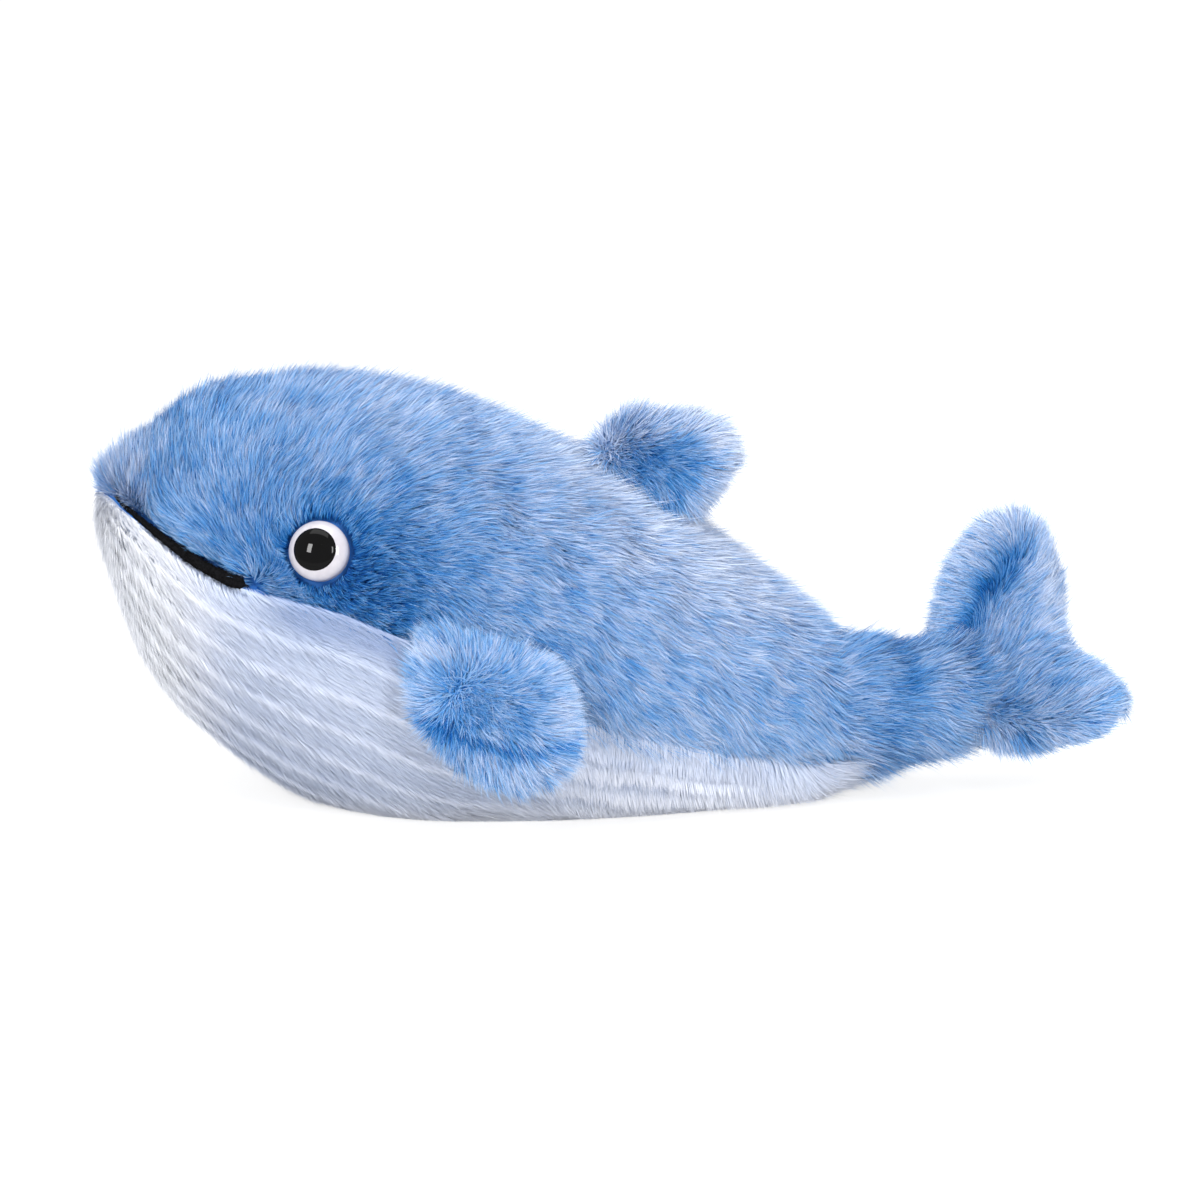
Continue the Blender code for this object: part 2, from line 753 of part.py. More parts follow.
def dorsal_fin():
    """The fin on the back: two panels sewn round a thin pad."""
    frame = dorsal_frame()
    sizes = np.array([DORSAL_LENGTH, DORSAL_HEIGHT])
    outline = closed_curve(np.array(DORSAL_OUTLINE_SHARES) * sizes, FIN_SEGMENTS)
    outline[:, 1] -= outline[:, 1].min()
    pad_panel("dorsal_fin_left_panel", frame, outline, 1, DORSAL_HALF_THICKNESS)
    pad_panel("dorsal_fin_right_panel", frame, outline, -1, DORSAL_HALF_THICKNESS)
    pad_filling("dorsal_fin_filling", frame, outline, DORSAL_HALF_THICKNESS)


# Tail


def stalk_path():
    """Points along the stalk from its root's rear to the middle of the flukes, and how far along each one is."""
    centre, ahead, _, _ = fluke_frame()
    start = tail_pivot()
    end = centre + ahead * FLUKE_HALF_THICKNESS / 3
    bend = np.array([(start[0] + centre[0]) / 2, 0, start[2]])
    t = np.linspace(0, 1, TAIL_ROWS)[:, None]
    curve = (1 - t) ** 2 * start + 2 * t * (1 - t) * bend + t**2 * end
    return curve, t[:, 0]


def oval_rings(path, across, half_widths, half_heights):
    """Oval rings round a path. The across vectors give each ring's width direction."""
    ahead = np.gradient(path, axis=0)
    ahead = ahead / np.linalg.norm(ahead, axis=1, keepdims=True)
    across = across - ahead * (across * ahead).sum(1, keepdims=True)
    across = across / np.linalg.norm(across, axis=1, keepdims=True)
    up = np.cross(ahead, across)
    angles = 2 * HALF_TURN * np.arange(TAIL_SEGMENTS) / TAIL_SEGMENTS
    return [
        path[i]
        + half_widths[i] * np.outer(np.cos(angles), across[i])
        + half_heights[i] * np.outer(np.sin(angles), up[i])
        for i in range(len(path))
    ]


def stalk_rings(inset, root_radius):
    """Rings of the stalk drawn in by a length, starting with the back of its ball-shaped root."""
    curve, share = stalk_path()
    widths = TAIL_BALL_RADIUS + share * (STALK_END_HALF_WIDTH - TAIL_BALL_RADIUS) - inset
    heights = TAIL_BALL_RADIUS + share * (STALK_END_HALF_HEIGHT - TAIL_BALL_RADIUS) - inset
    taper = swell(share**5)
    spread = fluke_frame()[2]
    level = np.array([0.0, 1.0, 0.0])
    across = level + share[:, None] * (spread - level)
    turns = np.linspace(0, HALF_TURN / 2, TAIL_ROWS)[1:-1]
    behind = [(math.cos(t), math.sin(t)) for t in turns]
    root = curve[0] - np.array([[back * root_radius, 0, 0] for back, _ in behind])
    round_sizes = [min(across_share * root_radius, widths[0]) for _, across_share in behind]
    path = np.concatenate([root, curve])
    return oval_rings(
        path,
        np.concatenate([np.tile(level, (len(behind), 1)), across]),
        np.concatenate([round_sizes, widths * taper]),
        np.concatenate([round_sizes, heights * taper]),
    )


def stalk(fluke_room):
    """The stalk between the body and the flukes: a sleeve of fur and the stuffing in it."""
    pivot = tail_pivot()
    back = np.array([TAIL_BALL_RADIUS, 0, 0])
    rings = stalk_rings(0, TAIL_BALL_RADIUS)
    end = stalk_path()[0][-1]
    sleeve = ring_solid("tail_stalk_panel", rings[:-1], pivot - back, end, FUR_BLUE)
    room = stalk_rings(FUR, TAIL_BALL_RADIUS)
    first = room[TAIL_ROWS - 2]
    far = first - 2 * back
    bore = helper(ring_solid("stalk_bore", [far, *room[TAIL_ROWS - 2 : -1]], pivot - 2 * back, end, None))
    combine(sleeve, "DIFFERENCE", [bore, fluke_room])
    rings = stalk_rings(FUR + SEAM_GAP, TAIL_BALL_RADIUS)
    filling = ring_solid("tail_stalk_filling", rings[:-1], pivot - back, end, STUFFING_WHITE)
    combine(filling, "DIFFERENCE", [fluke_room])


def fluke_point(share, angle, inset):
    """A point of the flukes' face at a share of the way to a tip. The angle is 0 at the rear, positive above.

    The lobes curve up out of the plane by the square of their share.
    """
    centre, ahead, spread, face = fluke_frame()
    table = np.array(FLUKE_SHARES)
    share, angle = np.broadcast_arrays(np.asarray(share, float), np.asarray(angle, float))
    front, rear, thick = (smooth(np.abs(share), table[:, 0], table[:, k]) for k in (1, 2, 3))
    half_chord = FLUKE_REACH * (rear - front) / 2 * (1 - inset / FLUKE_HALF_CHORD)
    half_thick = (FLUKE_HALF_THICKNESS - inset) * thick
    x = FLUKE_REACH * (rear + front) / 2 + half_chord * np.cos(angle)
    y = (FLUKE_HALF_SPAN - inset) * share
    z = half_thick * np.sin(angle) + FLUKE_CUP * (y / FLUKE_HALF_SPAN) ** 2
    return centre + x[..., None] * ahead + y[..., None] * spread + z[..., None] * face


def fluke_rows():
    """Shares of the rows of points from one fluke tip to the other, closer together at the tips."""
    t = np.linspace(-1, 1, FLUKE_ROWS)
    return np.sin(t * HALF_TURN / 2 * 0.93)


def fluke_solid(name, inset, colour):
    """The flukes as one closed form, drawn in by a length."""
    angle = 2 * HALF_TURN * np.arange(TAIL_SEGMENTS) / TAIL_SEGMENTS
    rings = fluke_point(fluke_rows()[:, None], angle[None, :], inset)
    start, end = (rings[k].mean(axis=0) for k in (0, -1))
    return ring_solid(name, list(rings), start, end, colour)


def fluke_panel(name, side):
    """The upper or the lower fur panel of the flukes."""
    columns = TAIL_SEGMENTS // 2 + 1
    angle = side * np.linspace(0, HALF_TURN, columns)
    rows = fluke_rows()[:, None]
    lift = side * fluke_frame()[3] * SEAM_GAP / 2
    outer = fluke_point(rows, angle[None, :], 0) + lift
    inner = fluke_point(rows, angle[None, :], FUR) + lift
    return grid_shell(name, outer, inner, FUR_BLUE)


def tail():
    """The tail: a stuffed stalk and the two-lobed flukes across its end."""
    stalk(helper(fluke_solid("fluke_room", -SEAM_GAP, None)))
    fluke_panel("fluke_upper_panel", 1)
    fluke_panel("fluke_lower_panel", -1)
    fluke_solid("fluke_filling", FUR + SEAM_GAP, STUFFING_WHITE)


def build():
    """Clears the scene and builds every piece."""
    for piece in list(bpy.data.objects):
        bpy.data.objects.remove(piece)
    piping_tube("mouth_piping", PIPING_RADIUS, PIPING_BLACK)
    groove = piping_tube("mouth_groove", PIPING_RADIUS + SEAM_GAP, None, SEAM_GAP)
    socket = tail_socket("tail_socket")
    for side in (LEFT, RIGHT):
        panel = back_panel(side)
        cutters = [eye_pocket(side), stem_hole(side), groove, socket]
        combine(panel, "DIFFERENCE", cutters)
        eye(side)
        flipper(side)
    combine(belly_panel(), "DIFFERENCE", [groove, socket])
    body_filling(groove)
    dorsal_fin()
    tail()


build()
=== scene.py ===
import math

import bpy
import numpy as np
from mathutils import Matrix, Vector


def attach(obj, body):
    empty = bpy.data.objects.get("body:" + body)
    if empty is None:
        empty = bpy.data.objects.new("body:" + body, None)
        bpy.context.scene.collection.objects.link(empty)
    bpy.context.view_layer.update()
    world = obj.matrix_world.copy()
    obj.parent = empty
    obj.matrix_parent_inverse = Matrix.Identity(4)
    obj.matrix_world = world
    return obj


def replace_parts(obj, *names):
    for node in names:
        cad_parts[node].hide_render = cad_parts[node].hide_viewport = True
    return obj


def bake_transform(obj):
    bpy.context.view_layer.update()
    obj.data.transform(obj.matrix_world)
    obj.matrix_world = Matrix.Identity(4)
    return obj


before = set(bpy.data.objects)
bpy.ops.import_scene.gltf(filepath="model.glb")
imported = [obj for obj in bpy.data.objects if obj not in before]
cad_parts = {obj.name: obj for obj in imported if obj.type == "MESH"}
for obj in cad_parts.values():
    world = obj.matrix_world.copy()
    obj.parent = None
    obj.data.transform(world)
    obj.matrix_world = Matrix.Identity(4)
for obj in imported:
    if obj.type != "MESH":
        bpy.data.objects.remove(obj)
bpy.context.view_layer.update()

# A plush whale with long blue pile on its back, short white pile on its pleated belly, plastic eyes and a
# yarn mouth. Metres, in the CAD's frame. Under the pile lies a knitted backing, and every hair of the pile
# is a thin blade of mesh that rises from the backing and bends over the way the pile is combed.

MM = 0.001
TURN = 2 * math.pi
TO_RIGHT, UP = np.array([0, 1.0, 0]), np.array([0, 0, 1.0])

# Body, as the CAD has it. Each row: place along the body, then back, widest level and belly as shares of
# the height, half width as a share of the greatest, and the side seam's place as a share of the way from
# back to belly.
BODY_LENGTH, BODY_HEIGHT, BODY_HALF_WIDTH = 217.5 * MM, 126.5 * MM, 62 * MM
REST_CENTRE = 0.5126
BODY_ROWS = np.array([
    (0.0000, 0.735, 0.735, 0.735, 0.000, 0.430),
    (0.0050, 0.779, 0.727, 0.632, 0.190, 0.410),
    (0.0276, 0.834, 0.680, 0.490, 0.420, 0.400),
    (0.0667, 0.890, 0.632, 0.334, 0.580, 0.425),
    (0.1057, 0.936, 0.609, 0.243, 0.694, 0.455),
    (0.1450, 0.966, 0.585, 0.182, 0.774, 0.470),
    (0.2070, 0.980, 0.551, 0.095, 0.863, 0.474),
    (0.2670, 0.996, 0.522, 0.020, 0.919, 0.473),
    (0.3470, 0.988, 0.490, -0.055, 0.976, 0.478),
    (0.4300, 0.964, 0.466, -0.111, 1.000, 0.503),
    (0.5130, 0.917, 0.443, -0.123, 0.992, 0.521),
    (0.6100, 0.842, 0.407, -0.119, 0.944, 0.550),
    (0.7000, 0.767, 0.360, -0.103, 0.855, 0.582),
    (0.8000, 0.656, 0.308, -0.071, 0.726, 0.598),
    (0.9000, 0.529, 0.253, -0.020, 0.555, 0.626),
    (0.9550, 0.458, 0.232, 0.012, 0.460, 0.664),
    (1.0000, 0.385, 0.217, 0.045, 0.360, 0.700),
])
NOSE_REACH, NOSE_WIDTH = 0.03, 16 * MM
PLEATS = 18
PLEAT_RISE, CHIN_RISE, PLEAT_LIFT = 1.1 * MM, 2.0 * MM, 14 * MM

# Pile: how deep the backing lies under the tips, how far a hair leans over, how wide it is and how wide its
# tuft is. Then the share of fine hairs, the shares of a hair's rise and lean that lie before its bend, and
# how far up its map a hair runs and how far its two sides lie from the middle there.
BLUE_DEPTH, BLUE_LEAN = 6.5 * MM, 7.3 * MM
WHITE_DEPTH, WHITE_LEAN = 2.4 * MM, 6.6 * MM
FIN_DEPTH = 4.8 * MM
BLUE_WIDTH, WHITE_WIDTH = 0.30 * MM, 0.25 * MM
TUFT, SHORT_TUFT = 2.0 * MM, 1.2 * MM
FINE_SHARE, BEND_RISE, BEND_LEAN = 0.16, 0.63, 0.30
ROOT_TO_TIP, MAP_SIDE = 0.15, 0.00144
BLUE_PER_MM2, WHITE_PER_MM2 = 9.4, 8.6
FILLING_DEPTH, FIN_FILLING_DEPTH = 8.9 * MM, 8.0 * MM

# Mouth and eyes. The mouth's corner and the eye's place are shares of the body's length, and the eye's turn
# is a share of half a turn from the back.
MOUTH_CORNER = 0.193
MOUTH_SINK = 0.7 * MM
EYE_RADIUS, EYE_EDGE, EYE_DOME, EYE_BACK = 9 * MM, 3 * MM, 4 * MM, 5.19 * MM
STEM_RADIUS, STEM_LENGTH = 2 * MM, 8 * MM
PUPIL_RADIUS, PUPIL_SHIFT = 6.4 * MM, 0.7 * MM
EYE_PLACE, EYE_TURN = 0.293, 0.385

# Places that the blue pile is combed and toned round, as shares of the body's length and of half a turn
# from the back: the fan's point, the cheek, which is darker partly as painted shade, and the ends of a
# painted shadow behind the flipper
FAN_PLACE = 0.215
CHEEK = 0.345, 0.44
BEHIND_FLIPPER = (0.582, 0.475), (0.671, 0.60)

# Fins. Each outline is a ring of shares of the fin's length and depth. A root runs between two places of
# the body, and the drop is how far it reaches into it.
FLIPPER_ROOT = (0.425, 0.510), (0.558, 0.521)
FLIPPER_STAND_OFF, FLIPPER_SPLAY, FLIPPER_DROP = 4.2 * MM, math.radians(30), 7 * MM
FLIPPER_SIZE = np.array([50, 33]) * MM
FLIPPER_OUTLINE = np.array([
    (0.03, 0.02), (0.05, 0.36), (0.23, 0.68), (0.43, 0.88), (0.66, 0.93), (0.87, 0.85),
    (1.00, 0.64), (0.99, 0.32), (0.88, 0.06), (0.70, -0.05), (0.45, -0.07), (0.20, -0.05),
]) * FLIPPER_SIZE
DORSAL_ROOT, DORSAL_GAP, DORSAL_DROP = (0.644, 0.823), 0.3 * MM, 9 * MM
DORSAL_SIZE = np.array([43, 28]) * MM
DORSAL_OUTLINE = np.array([
    (0.05, 0.05), (0.10, 0.33), (0.27, 0.64), (0.46, 0.84), (0.63, 0.96), (0.79, 0.97),
    (0.90, 0.85), (0.94, 0.66), (0.96, 0.36), (0.92, 0.06), (0.70, 0.00), (0.36, 0.00),
]) * DORSAL_SIZE
FIN_HALF_THICKNESS = 10.5 * MM

# Tail. Each row of the flukes: share of the way to a tip, then front edge, rear edge and half thickness as
# shares of the reach and of the greatest half thickness.
TAIL_BALL = 19.5 * MM
NECK_SETBACK = 9 * MM
STALK_LENGTH, STALK_RISE, STALK_RUN_IN = 36.5 * MM, 6.5 * MM, 40 * MM
STALK_END = np.array([16, 14.5]) * MM
FLUKE_HALF_SPAN, FLUKE_REACH = 42 * MM, 36.5 * MM
FLUKE_HALF_CHORD, FLUKE_HALF_THICKNESS, FLUKE_CUP = 17 * MM, 12 * MM, 15 * MM
FLUKE_ROWS = np.array([
    (0.00, -0.39, 0.75, 1.00), (0.17, -0.36, 0.81, 1.00), (0.34, -0.30, 0.90, 1.00),
    (0.51, -0.21, 0.97, 0.98), (0.67, -0.06, 1.00, 0.92), (0.81, 0.14, 1.00, 0.80),
    (0.93, 0.37, 0.92, 0.55), (1.00, 0.64, 0.68, 0.02),
])
PIVOT = np.array([BODY_LENGTH * (1 - REST_CENTRE) + NECK_SETBACK, 0, BODY_HEIGHT * BODY_ROWS[-1, 2]])
FLUKE_CENTRE = PIVOT + np.array([STALK_LENGTH, 0, STALK_RISE])
FLUKE_END = 0.97 * math.pi / 2
FLUKE_PITCH, FLUKE_ROLL = math.radians(30), math.radians(48)
FLUKE_AHEAD = np.array([math.cos(FLUKE_PITCH), 0, math.sin(FLUKE_PITCH)])
FLUKE_SPREAD = math.cos(FLUKE_ROLL) * TO_RIGHT + math.sin(FLUKE_ROLL) * np.cross(FLUKE_AHEAD, TO_RIGHT)
FLUKE_FACE = np.cross(FLUKE_AHEAD, FLUKE_SPREAD)


def unit(ways):
    """The ways with length one."""
    return ways / np.maximum(np.linalg.norm(ways, axis=-1, keepdims=True), 1e-12)


def flattened(ways, normal):
    """The ways without their share along the normal."""
    return ways - normal * (ways * normal).sum(axis=-1, keepdims=True)


def bell(away, width):
    """From 1 at no distance down to 0 far away: e to the minus square of the distance in widths."""
    return np.exp(-((away / width) ** 2))


def round_turns(count):
    """Angles spaced evenly round a full turn."""
    return TURN * np.arange(count) / count


def turned_out(normal, out):
    """The normals, each turned to the side of its way out."""
    return normal * np.sign((out * normal).sum(axis=-1, keepdims=True))


def one_shape(*values):
    """The values as arrays of one shape."""
    return np.broadcast_arrays(*(np.asarray(value, float) for value in values))


def ease(t):
    """From 0 to 1 with level ends: three squares less two cubes."""
    t = np.clip(t, 0, 1)
    return t * t * (3 - 2 * t)


def smooth(at, knots, values):
    """Values on a smooth curve through the knots: a cubic between each two, with the slopes of their
    neighbours."""
    slopes = np.gradient(values, knots)
    i = np.clip(np.searchsorted(knots, at, side="right") - 1, 0, len(knots) - 2)
    wide = knots[i + 1] - knots[i]
    t = (at - knots[i]) / wide
    return (
        values[i] * (2 * t**3 - 3 * t**2 + 1)
        + values[i + 1] * (3 * t**2 - 2 * t**3)
        + slopes[i] * wide * (t**3 - 2 * t**2 + t)
        + slopes[i + 1] * wide * (t**3 - t**2)
    )


def ripple(points, size, start):
    """A smooth wandering value from about -1 to 1: six waves of about one size that cross at different
    slants."""
    random = np.random.default_rng(start)
    ways = unit(random.normal(size=(6, 3))) * random.uniform(0.7, 1.5, (6, 1)) * TURN / size
    return np.sin(points @ ways.T + random.uniform(0, TURN, 6)).sum(axis=-1) / 2.4


# Shapes


def body_section(reach):
    """Back, middle, belly, half width and seam angle where the reach's square is the share of the length."""
    knots = np.sqrt(BODY_ROWS[:, 0])
    sizes = BODY_HEIGHT, BODY_HEIGHT, BODY_HEIGHT, BODY_HALF_WIDTH, math.pi
    return [size * smooth(reach, knots, row) for size, row in zip(sizes, BODY_ROWS[:, 1:].T)]


def body_round(reach, angle):
    """Two half ellipses, one over and one under the widest level. The angle is 0 on the back, positive down
    the left."""
    reach, angle = one_shape(reach, angle)
    back, middle, belly, width, _ = body_section(reach)
    height = np.where(np.cos(angle) > 0, back - middle, middle - belly)
    x = BODY_LENGTH * (reach**2 - REST_CENTRE)
    return np.stack([x, -width * np.sin(angle), middle + height * np.cos(angle)], axis=-1)


def lie(face, u, v, step=0.002):
    """Points of a face, its unit normals and the unit way along it, from small differences of its
    parameters."""
    along = face(u + step, v) - face(u - step, v)
    around = face(u, v + step) - face(u, v - step)
    return face(u, v), unit(np.cross(around, along)), unit(along)


def seat(place, turn):
    """A point of the body's face, at a share of its length and of half a turn, and the way it looks there."""
    point, normal, _ = lie(body_round, np.array([math.sqrt(place)]), np.array([turn * math.pi]))
    return point[0], normal[0]


def body_under(reach, angle, depth):
    """The body's face moved in along its normal, less where the nose narrows, and lifted off the ground."""
    point, normal, along = lie(body_round, reach, angle)
    thin = depth * np.minimum(1, body_section(reach)[3] / NOSE_WIDTH)
    point = point - thin[..., None] * normal
    point[..., 2] = np.maximum(point[..., 2], 0.45 * thin)
    return point, normal, along


def belly_angle(reach, share):
    """The angle of a share of the way across the belly from the left seam to the right one."""
    seam = body_section(reach)[4]
    return seam + 2 * (math.pi - seam) * share


def towards_chin(x):
    """How far forward a place of the belly is: 0 behind the eyes and 1 under the chin."""
    return ease((-35 * MM - x) / (50 * MM))


def belly_under(reach, share):
    """The belly's backing: the body's face moved in by the white pile's depth, out along each sewn ridge,
    which is a narrow bell over each zero of a sine, and out again under the chin, where the plush is
    fuller."""
    point, normal, along = body_under(reach, belly_angle(reach, share), WHITE_DEPTH)
    ridge = bell(np.sin(math.pi * PLEATS * share), 0.34) * ease(point[..., 2] / PLEAT_LIFT)
    out = PLEAT_RISE * ridge + CHIN_RISE * towards_chin(point[..., 0])
    return point + out[..., None] * normal, normal, along


def closed_curve(outline, at):
    """Points at shares of the way round a smooth closed curve through the outline."""
    ring = np.concatenate([outline] * 3 + [outline[:1]])
    knots = np.arange(len(ring)) / len(outline) - 1
    return np.stack([smooth(np.mod(at, 1), knots, ring[:, k]) for k in range(2)], axis=-1)


def pad(place, outline, drop, thin_inside):
    """The face of a sewn pad as a function of (across, around, inset): across runs 0 to 1 over the outer
    face from its middle to its edge and on to 2 over the inner one. The height falls as the root of 1 less
    a power of the share of the way out. A pad that is thin inside falls there as 1 less the square. Its
    root reaches into the body by the drop."""
    origin, along, down, face = place
    near_root = np.clip(1 - outline[:, 1] / (0.4 * outline[:, 1].max()), 0, 1)
    outline = outline - np.stack([0 * near_root, drop * near_root], axis=1)
    middle = outline.mean(axis=0)

    def surface(across, around, inset):
        across, around = one_shape(across, around)
        share = np.sin(across * math.pi / 2)
        spoke = closed_curve(outline, around) - middle
        shrunk = spoke * (1 - inset / np.linalg.norm(spoke, axis=-1, keepdims=True))
        flat = middle + share[..., None] * shrunk
        outer = np.sqrt(np.maximum(1 - share**2.4, 0))
        inner = -(1 - share**2) if thin_inside else -outer
        height = (FIN_HALF_THICKNESS - inset) * np.where(across < 1, outer, inner)
        return origin + flat[..., :1] * along + flat[..., 1:] * down + height[..., None] * face

    return surface


def flipper_place(side):
    """The front end of a flipper's root, the way along it, the way down the flipper and out of its face.
    The root stands off the side seam, and the flipper hangs from it, splayed from the body."""
    (front, front_look), (rear, out) = (seat(place, side * turn) for place, turn in FLIPPER_ROOT)
    root = front + FLIPPER_STAND_OFF * front_look
    along = unit(rear + FLIPPER_STAND_OFF * out - root)
    out = unit(flattened(out, along))
    down = np.cross(along, out)
    down = -np.sign(down[2]) * down
    hanging = down * math.cos(FLIPPER_SPLAY) + out * math.sin(FLIPPER_SPLAY)
    return np.array([root, along, hanging, out * math.cos(FLIPPER_SPLAY) - down * math.sin(FLIPPER_SPLAY)])


def dorsal_place():
    """The front end of the dorsal fin's root, the way along it, the way up the fin and out of its left
    face. The root is a straight line that just clears the back."""
    back = body_round(np.linspace(*np.sqrt(DORSAL_ROOT)), 0)
    along = unit(back[-1] - back[0])
    up = np.cross(along, TO_RIGHT)
    return np.array([back[0] + up * (((back - back[0]) @ up).max() + DORSAL_GAP), along, up, -TO_RIGHT])


FIN_PLACES = {
    "flipper_left": flipper_place(1),
    "flipper_right": flipper_place(-1),
    "dorsal_fin": dorsal_place(),
}
FINS = {
    "flipper_left": pad(FIN_PLACES["flipper_left"], FLIPPER_OUTLINE, FLIPPER_DROP, True),
    "flipper_right": pad(FIN_PLACES["flipper_right"], FLIPPER_OUTLINE, FLIPPER_DROP, True),
    "dorsal_fin": pad(FIN_PLACES["dorsal_fin"], DORSAL_OUTLINE, DORSAL_DROP, False),
}


def stalk_face(t, turn, inset):
    """An oval carried along a curve from the body to the flukes. Before 0 it runs straight back into the
    body."""
    t, turn = one_shape(t, turn)
    end = FLUKE_CENTRE + FLUKE_AHEAD * FLUKE_HALF_THICKNESS / 3
    bend = np.array([(PIVOT[0] + FLUKE_CENTRE[0]) / 2, 0, PIVOT[2]])
    s = np.maximum(t, 0)[..., None]
    path = (1 - s) ** 2 * PIVOT + 2 * s * (1 - s) * bend + s**2 * end
    path = path + np.minimum(t, 0)[..., None] * np.array([STALK_RUN_IN, 0, 0])
    ahead = unit(2 * (1 - s) * (bend - PIVOT) + 2 * s * (end - bend))
    across = unit(flattened(TO_RIGHT + s * (FLUKE_SPREAD - TO_RIGHT), ahead))
    sizes = TAIL_BALL + s * (STALK_END - TAIL_BALL) - inset
    return (
        path
        + sizes[..., :1] * np.cos(turn)[..., None] * across
        + sizes[..., 1:] * np.sin(turn)[..., None] * np.cross(ahead, across)
    )


def fluke_edges(share):
    """Front edge, rear edge and half thickness of the flukes at a share of the way to a tip, as shares of
    their sizes."""
    return (smooth(np.abs(share), FLUKE_ROWS[:, 0], FLUKE_ROWS[:, k]) for k in (1, 2, 3))


def fluke_face(climb, turn, inset):
    """An oval between the front and the rear edge, carried across the span. Climb is the arc sine of the
    share."""
    climb, turn = one_shape(climb, turn)
    share = np.sin(climb)
    front, rear, thick = fluke_edges(share)
    half_chord = FLUKE_REACH * (rear - front) / 2 * (1 - inset / FLUKE_HALF_CHORD)
    x = FLUKE_REACH * (rear + front) / 2 + half_chord * np.cos(turn)
    y = (FLUKE_HALF_SPAN - inset) * share
    z = (FLUKE_HALF_THICKNESS - inset) * thick * np.sin(turn) + FLUKE_CUP * (y / FLUKE_HALF_SPAN) ** 2
    return FLUKE_CENTRE + np.stack([x, y, z], axis=-1) @ np.array([FLUKE_AHEAD, FLUKE_SPREAD, FLUKE_FACE])


def within_flukes(points, inset):
    """Which points lie inside the flukes drawn in by a length."""
    x, y, z = ((points - FLUKE_CENTRE) @ way for way in (FLUKE_AHEAD, FLUKE_SPREAD, FLUKE_FACE))
    share = np.clip(y / (FLUKE_HALF_SPAN - inset), -1, 1)
    front, rear, thick = fluke_edges(share)
    wide = FLUKE_REACH * (rear - front) / 2 * (1 - inset / FLUKE_HALF_CHORD)
    tall = (FLUKE_HALF_THICKNESS - inset) * thick
    z = z - FLUKE_CUP * (y / FLUKE_HALF_SPAN) ** 2
    return ((x - FLUKE_REACH * (rear + front) / 2) / wide) ** 2 + (z / tall) ** 2 < 1


def within_stalk(points, inset):
    """Which points lie inside the stalk: nearer its middle line than its least half size there."""
    t = np.linspace(0, 1, 60)
    rings = stalk_face(t, 0 * t, inset), stalk_face(t, 0 * t + math.pi, inset)
    path = (rings[0] + rings[1]) / 2
    away = np.linalg.norm(points[:, None] - path[None], axis=2)
    reach = TAIL_BALL + t * (STALK_END[1] - TAIL_BALL) - inset
    return (away < reach).any(axis=1)


def within_body(points, inset):
    """Which points lie inside the body drawn in by a length."""
    reach = np.sqrt(np.clip(points[:, 0] / BODY_LENGTH + REST_CENTRE, 0.02, 1))
    back, middle, belly, width, _ = body_section(reach)
    tall = np.where(points[:, 2] > middle, back - middle, middle - belly) - inset
    return (points[:, 1] / (width - inset)) ** 2 + ((points[:, 2] - middle) / tall) ** 2 < 1


# Meshes


def linear(code):
    """A hex colour as linear red, green, blue and 1: each channel over 12.92 when dark, else a power of
    2.4."""
    parts = np.array([int(code[i : i + 2], 16) for i in (1, 3, 5)]) / 255
    parts = np.where(parts <= 0.04045, parts / 12.92, ((parts + 0.055) / 1.055) ** 2.4)
    return (*parts.tolist(), 1.0)


def put(name, points, corners, sizes, material):
    """A mesh object from whole arrays: points, the corner list, and how many corners each face has."""
    mesh = bpy.data.meshes.new(name)
    mesh.vertices.add(len(points))
    mesh.vertices.foreach_set("co", np.ascontiguousarray(points, dtype=np.float32).ravel())
    mesh.loops.add(len(corners))
    mesh.loops.foreach_set("vertex_index", np.asarray(corners, dtype=np.int32))
    mesh.polygons.add(len(sizes))
    mesh.polygons.foreach_set("loop_start", np.concatenate([[0], np.cumsum(sizes)[:-1]]).astype(np.int32))
    mesh.update(calc_edges=True)
    mesh.shade_smooth()
    mesh.materials.append(material)
    piece = bpy.data.objects.new(name, mesh)
    bpy.context.scene.collection.objects.link(piece)
    return piece


def skin(name, rings, material):
    """A closed form skinned over an array of rings, each end closed by a fan to its middle, facing
    outwards."""
    rows, size = rings.shape[:2]
    points = np.concatenate([rings.reshape(-1, 3), rings[[0, -1]].mean(axis=1)])
    here = np.arange(rows * size).reshape(rows, size)
    after = np.roll(here, -1, axis=1)
    quads = np.stack([here[:-1], after[:-1], after[1:], here[1:]], axis=-1).reshape(-1, 4)
    first, last = len(points) - 2, len(points) - 1
    start = np.stack([np.full(size, first), after[0], here[0]], axis=-1)
    end = np.stack([np.full(size, last), here[-1], after[-1]], axis=-1)
    fans = np.concatenate([start, end])
    a, b, c = (points[quads[:, k]] for k in range(3))
    if ((a - points.mean(axis=0)) * np.cross(b - a, c - a)).sum() < 0:
        quads, fans = quads[:, ::-1], fans[:, ::-1]
    corners = np.concatenate([quads.ravel(), fans.ravel()])
    return put(name, points, corners, np.repeat([4, 3], [len(quads), len(fans)]), material)


def lathe(centre, axis, profile, segments):
    """Rings turned round an axis through (radius, height) pairs."""
    side = unit(np.cross(axis, UP))
    up = np.cross(side, axis)
    turns = round_turns(segments)
    spokes = np.cos(turns)[:, None] * side + np.sin(turns)[:, None] * up
    profile = np.array(profile)
    return centre + profile[:, :1, None] * spokes + profile[:, 1:, None] * axis


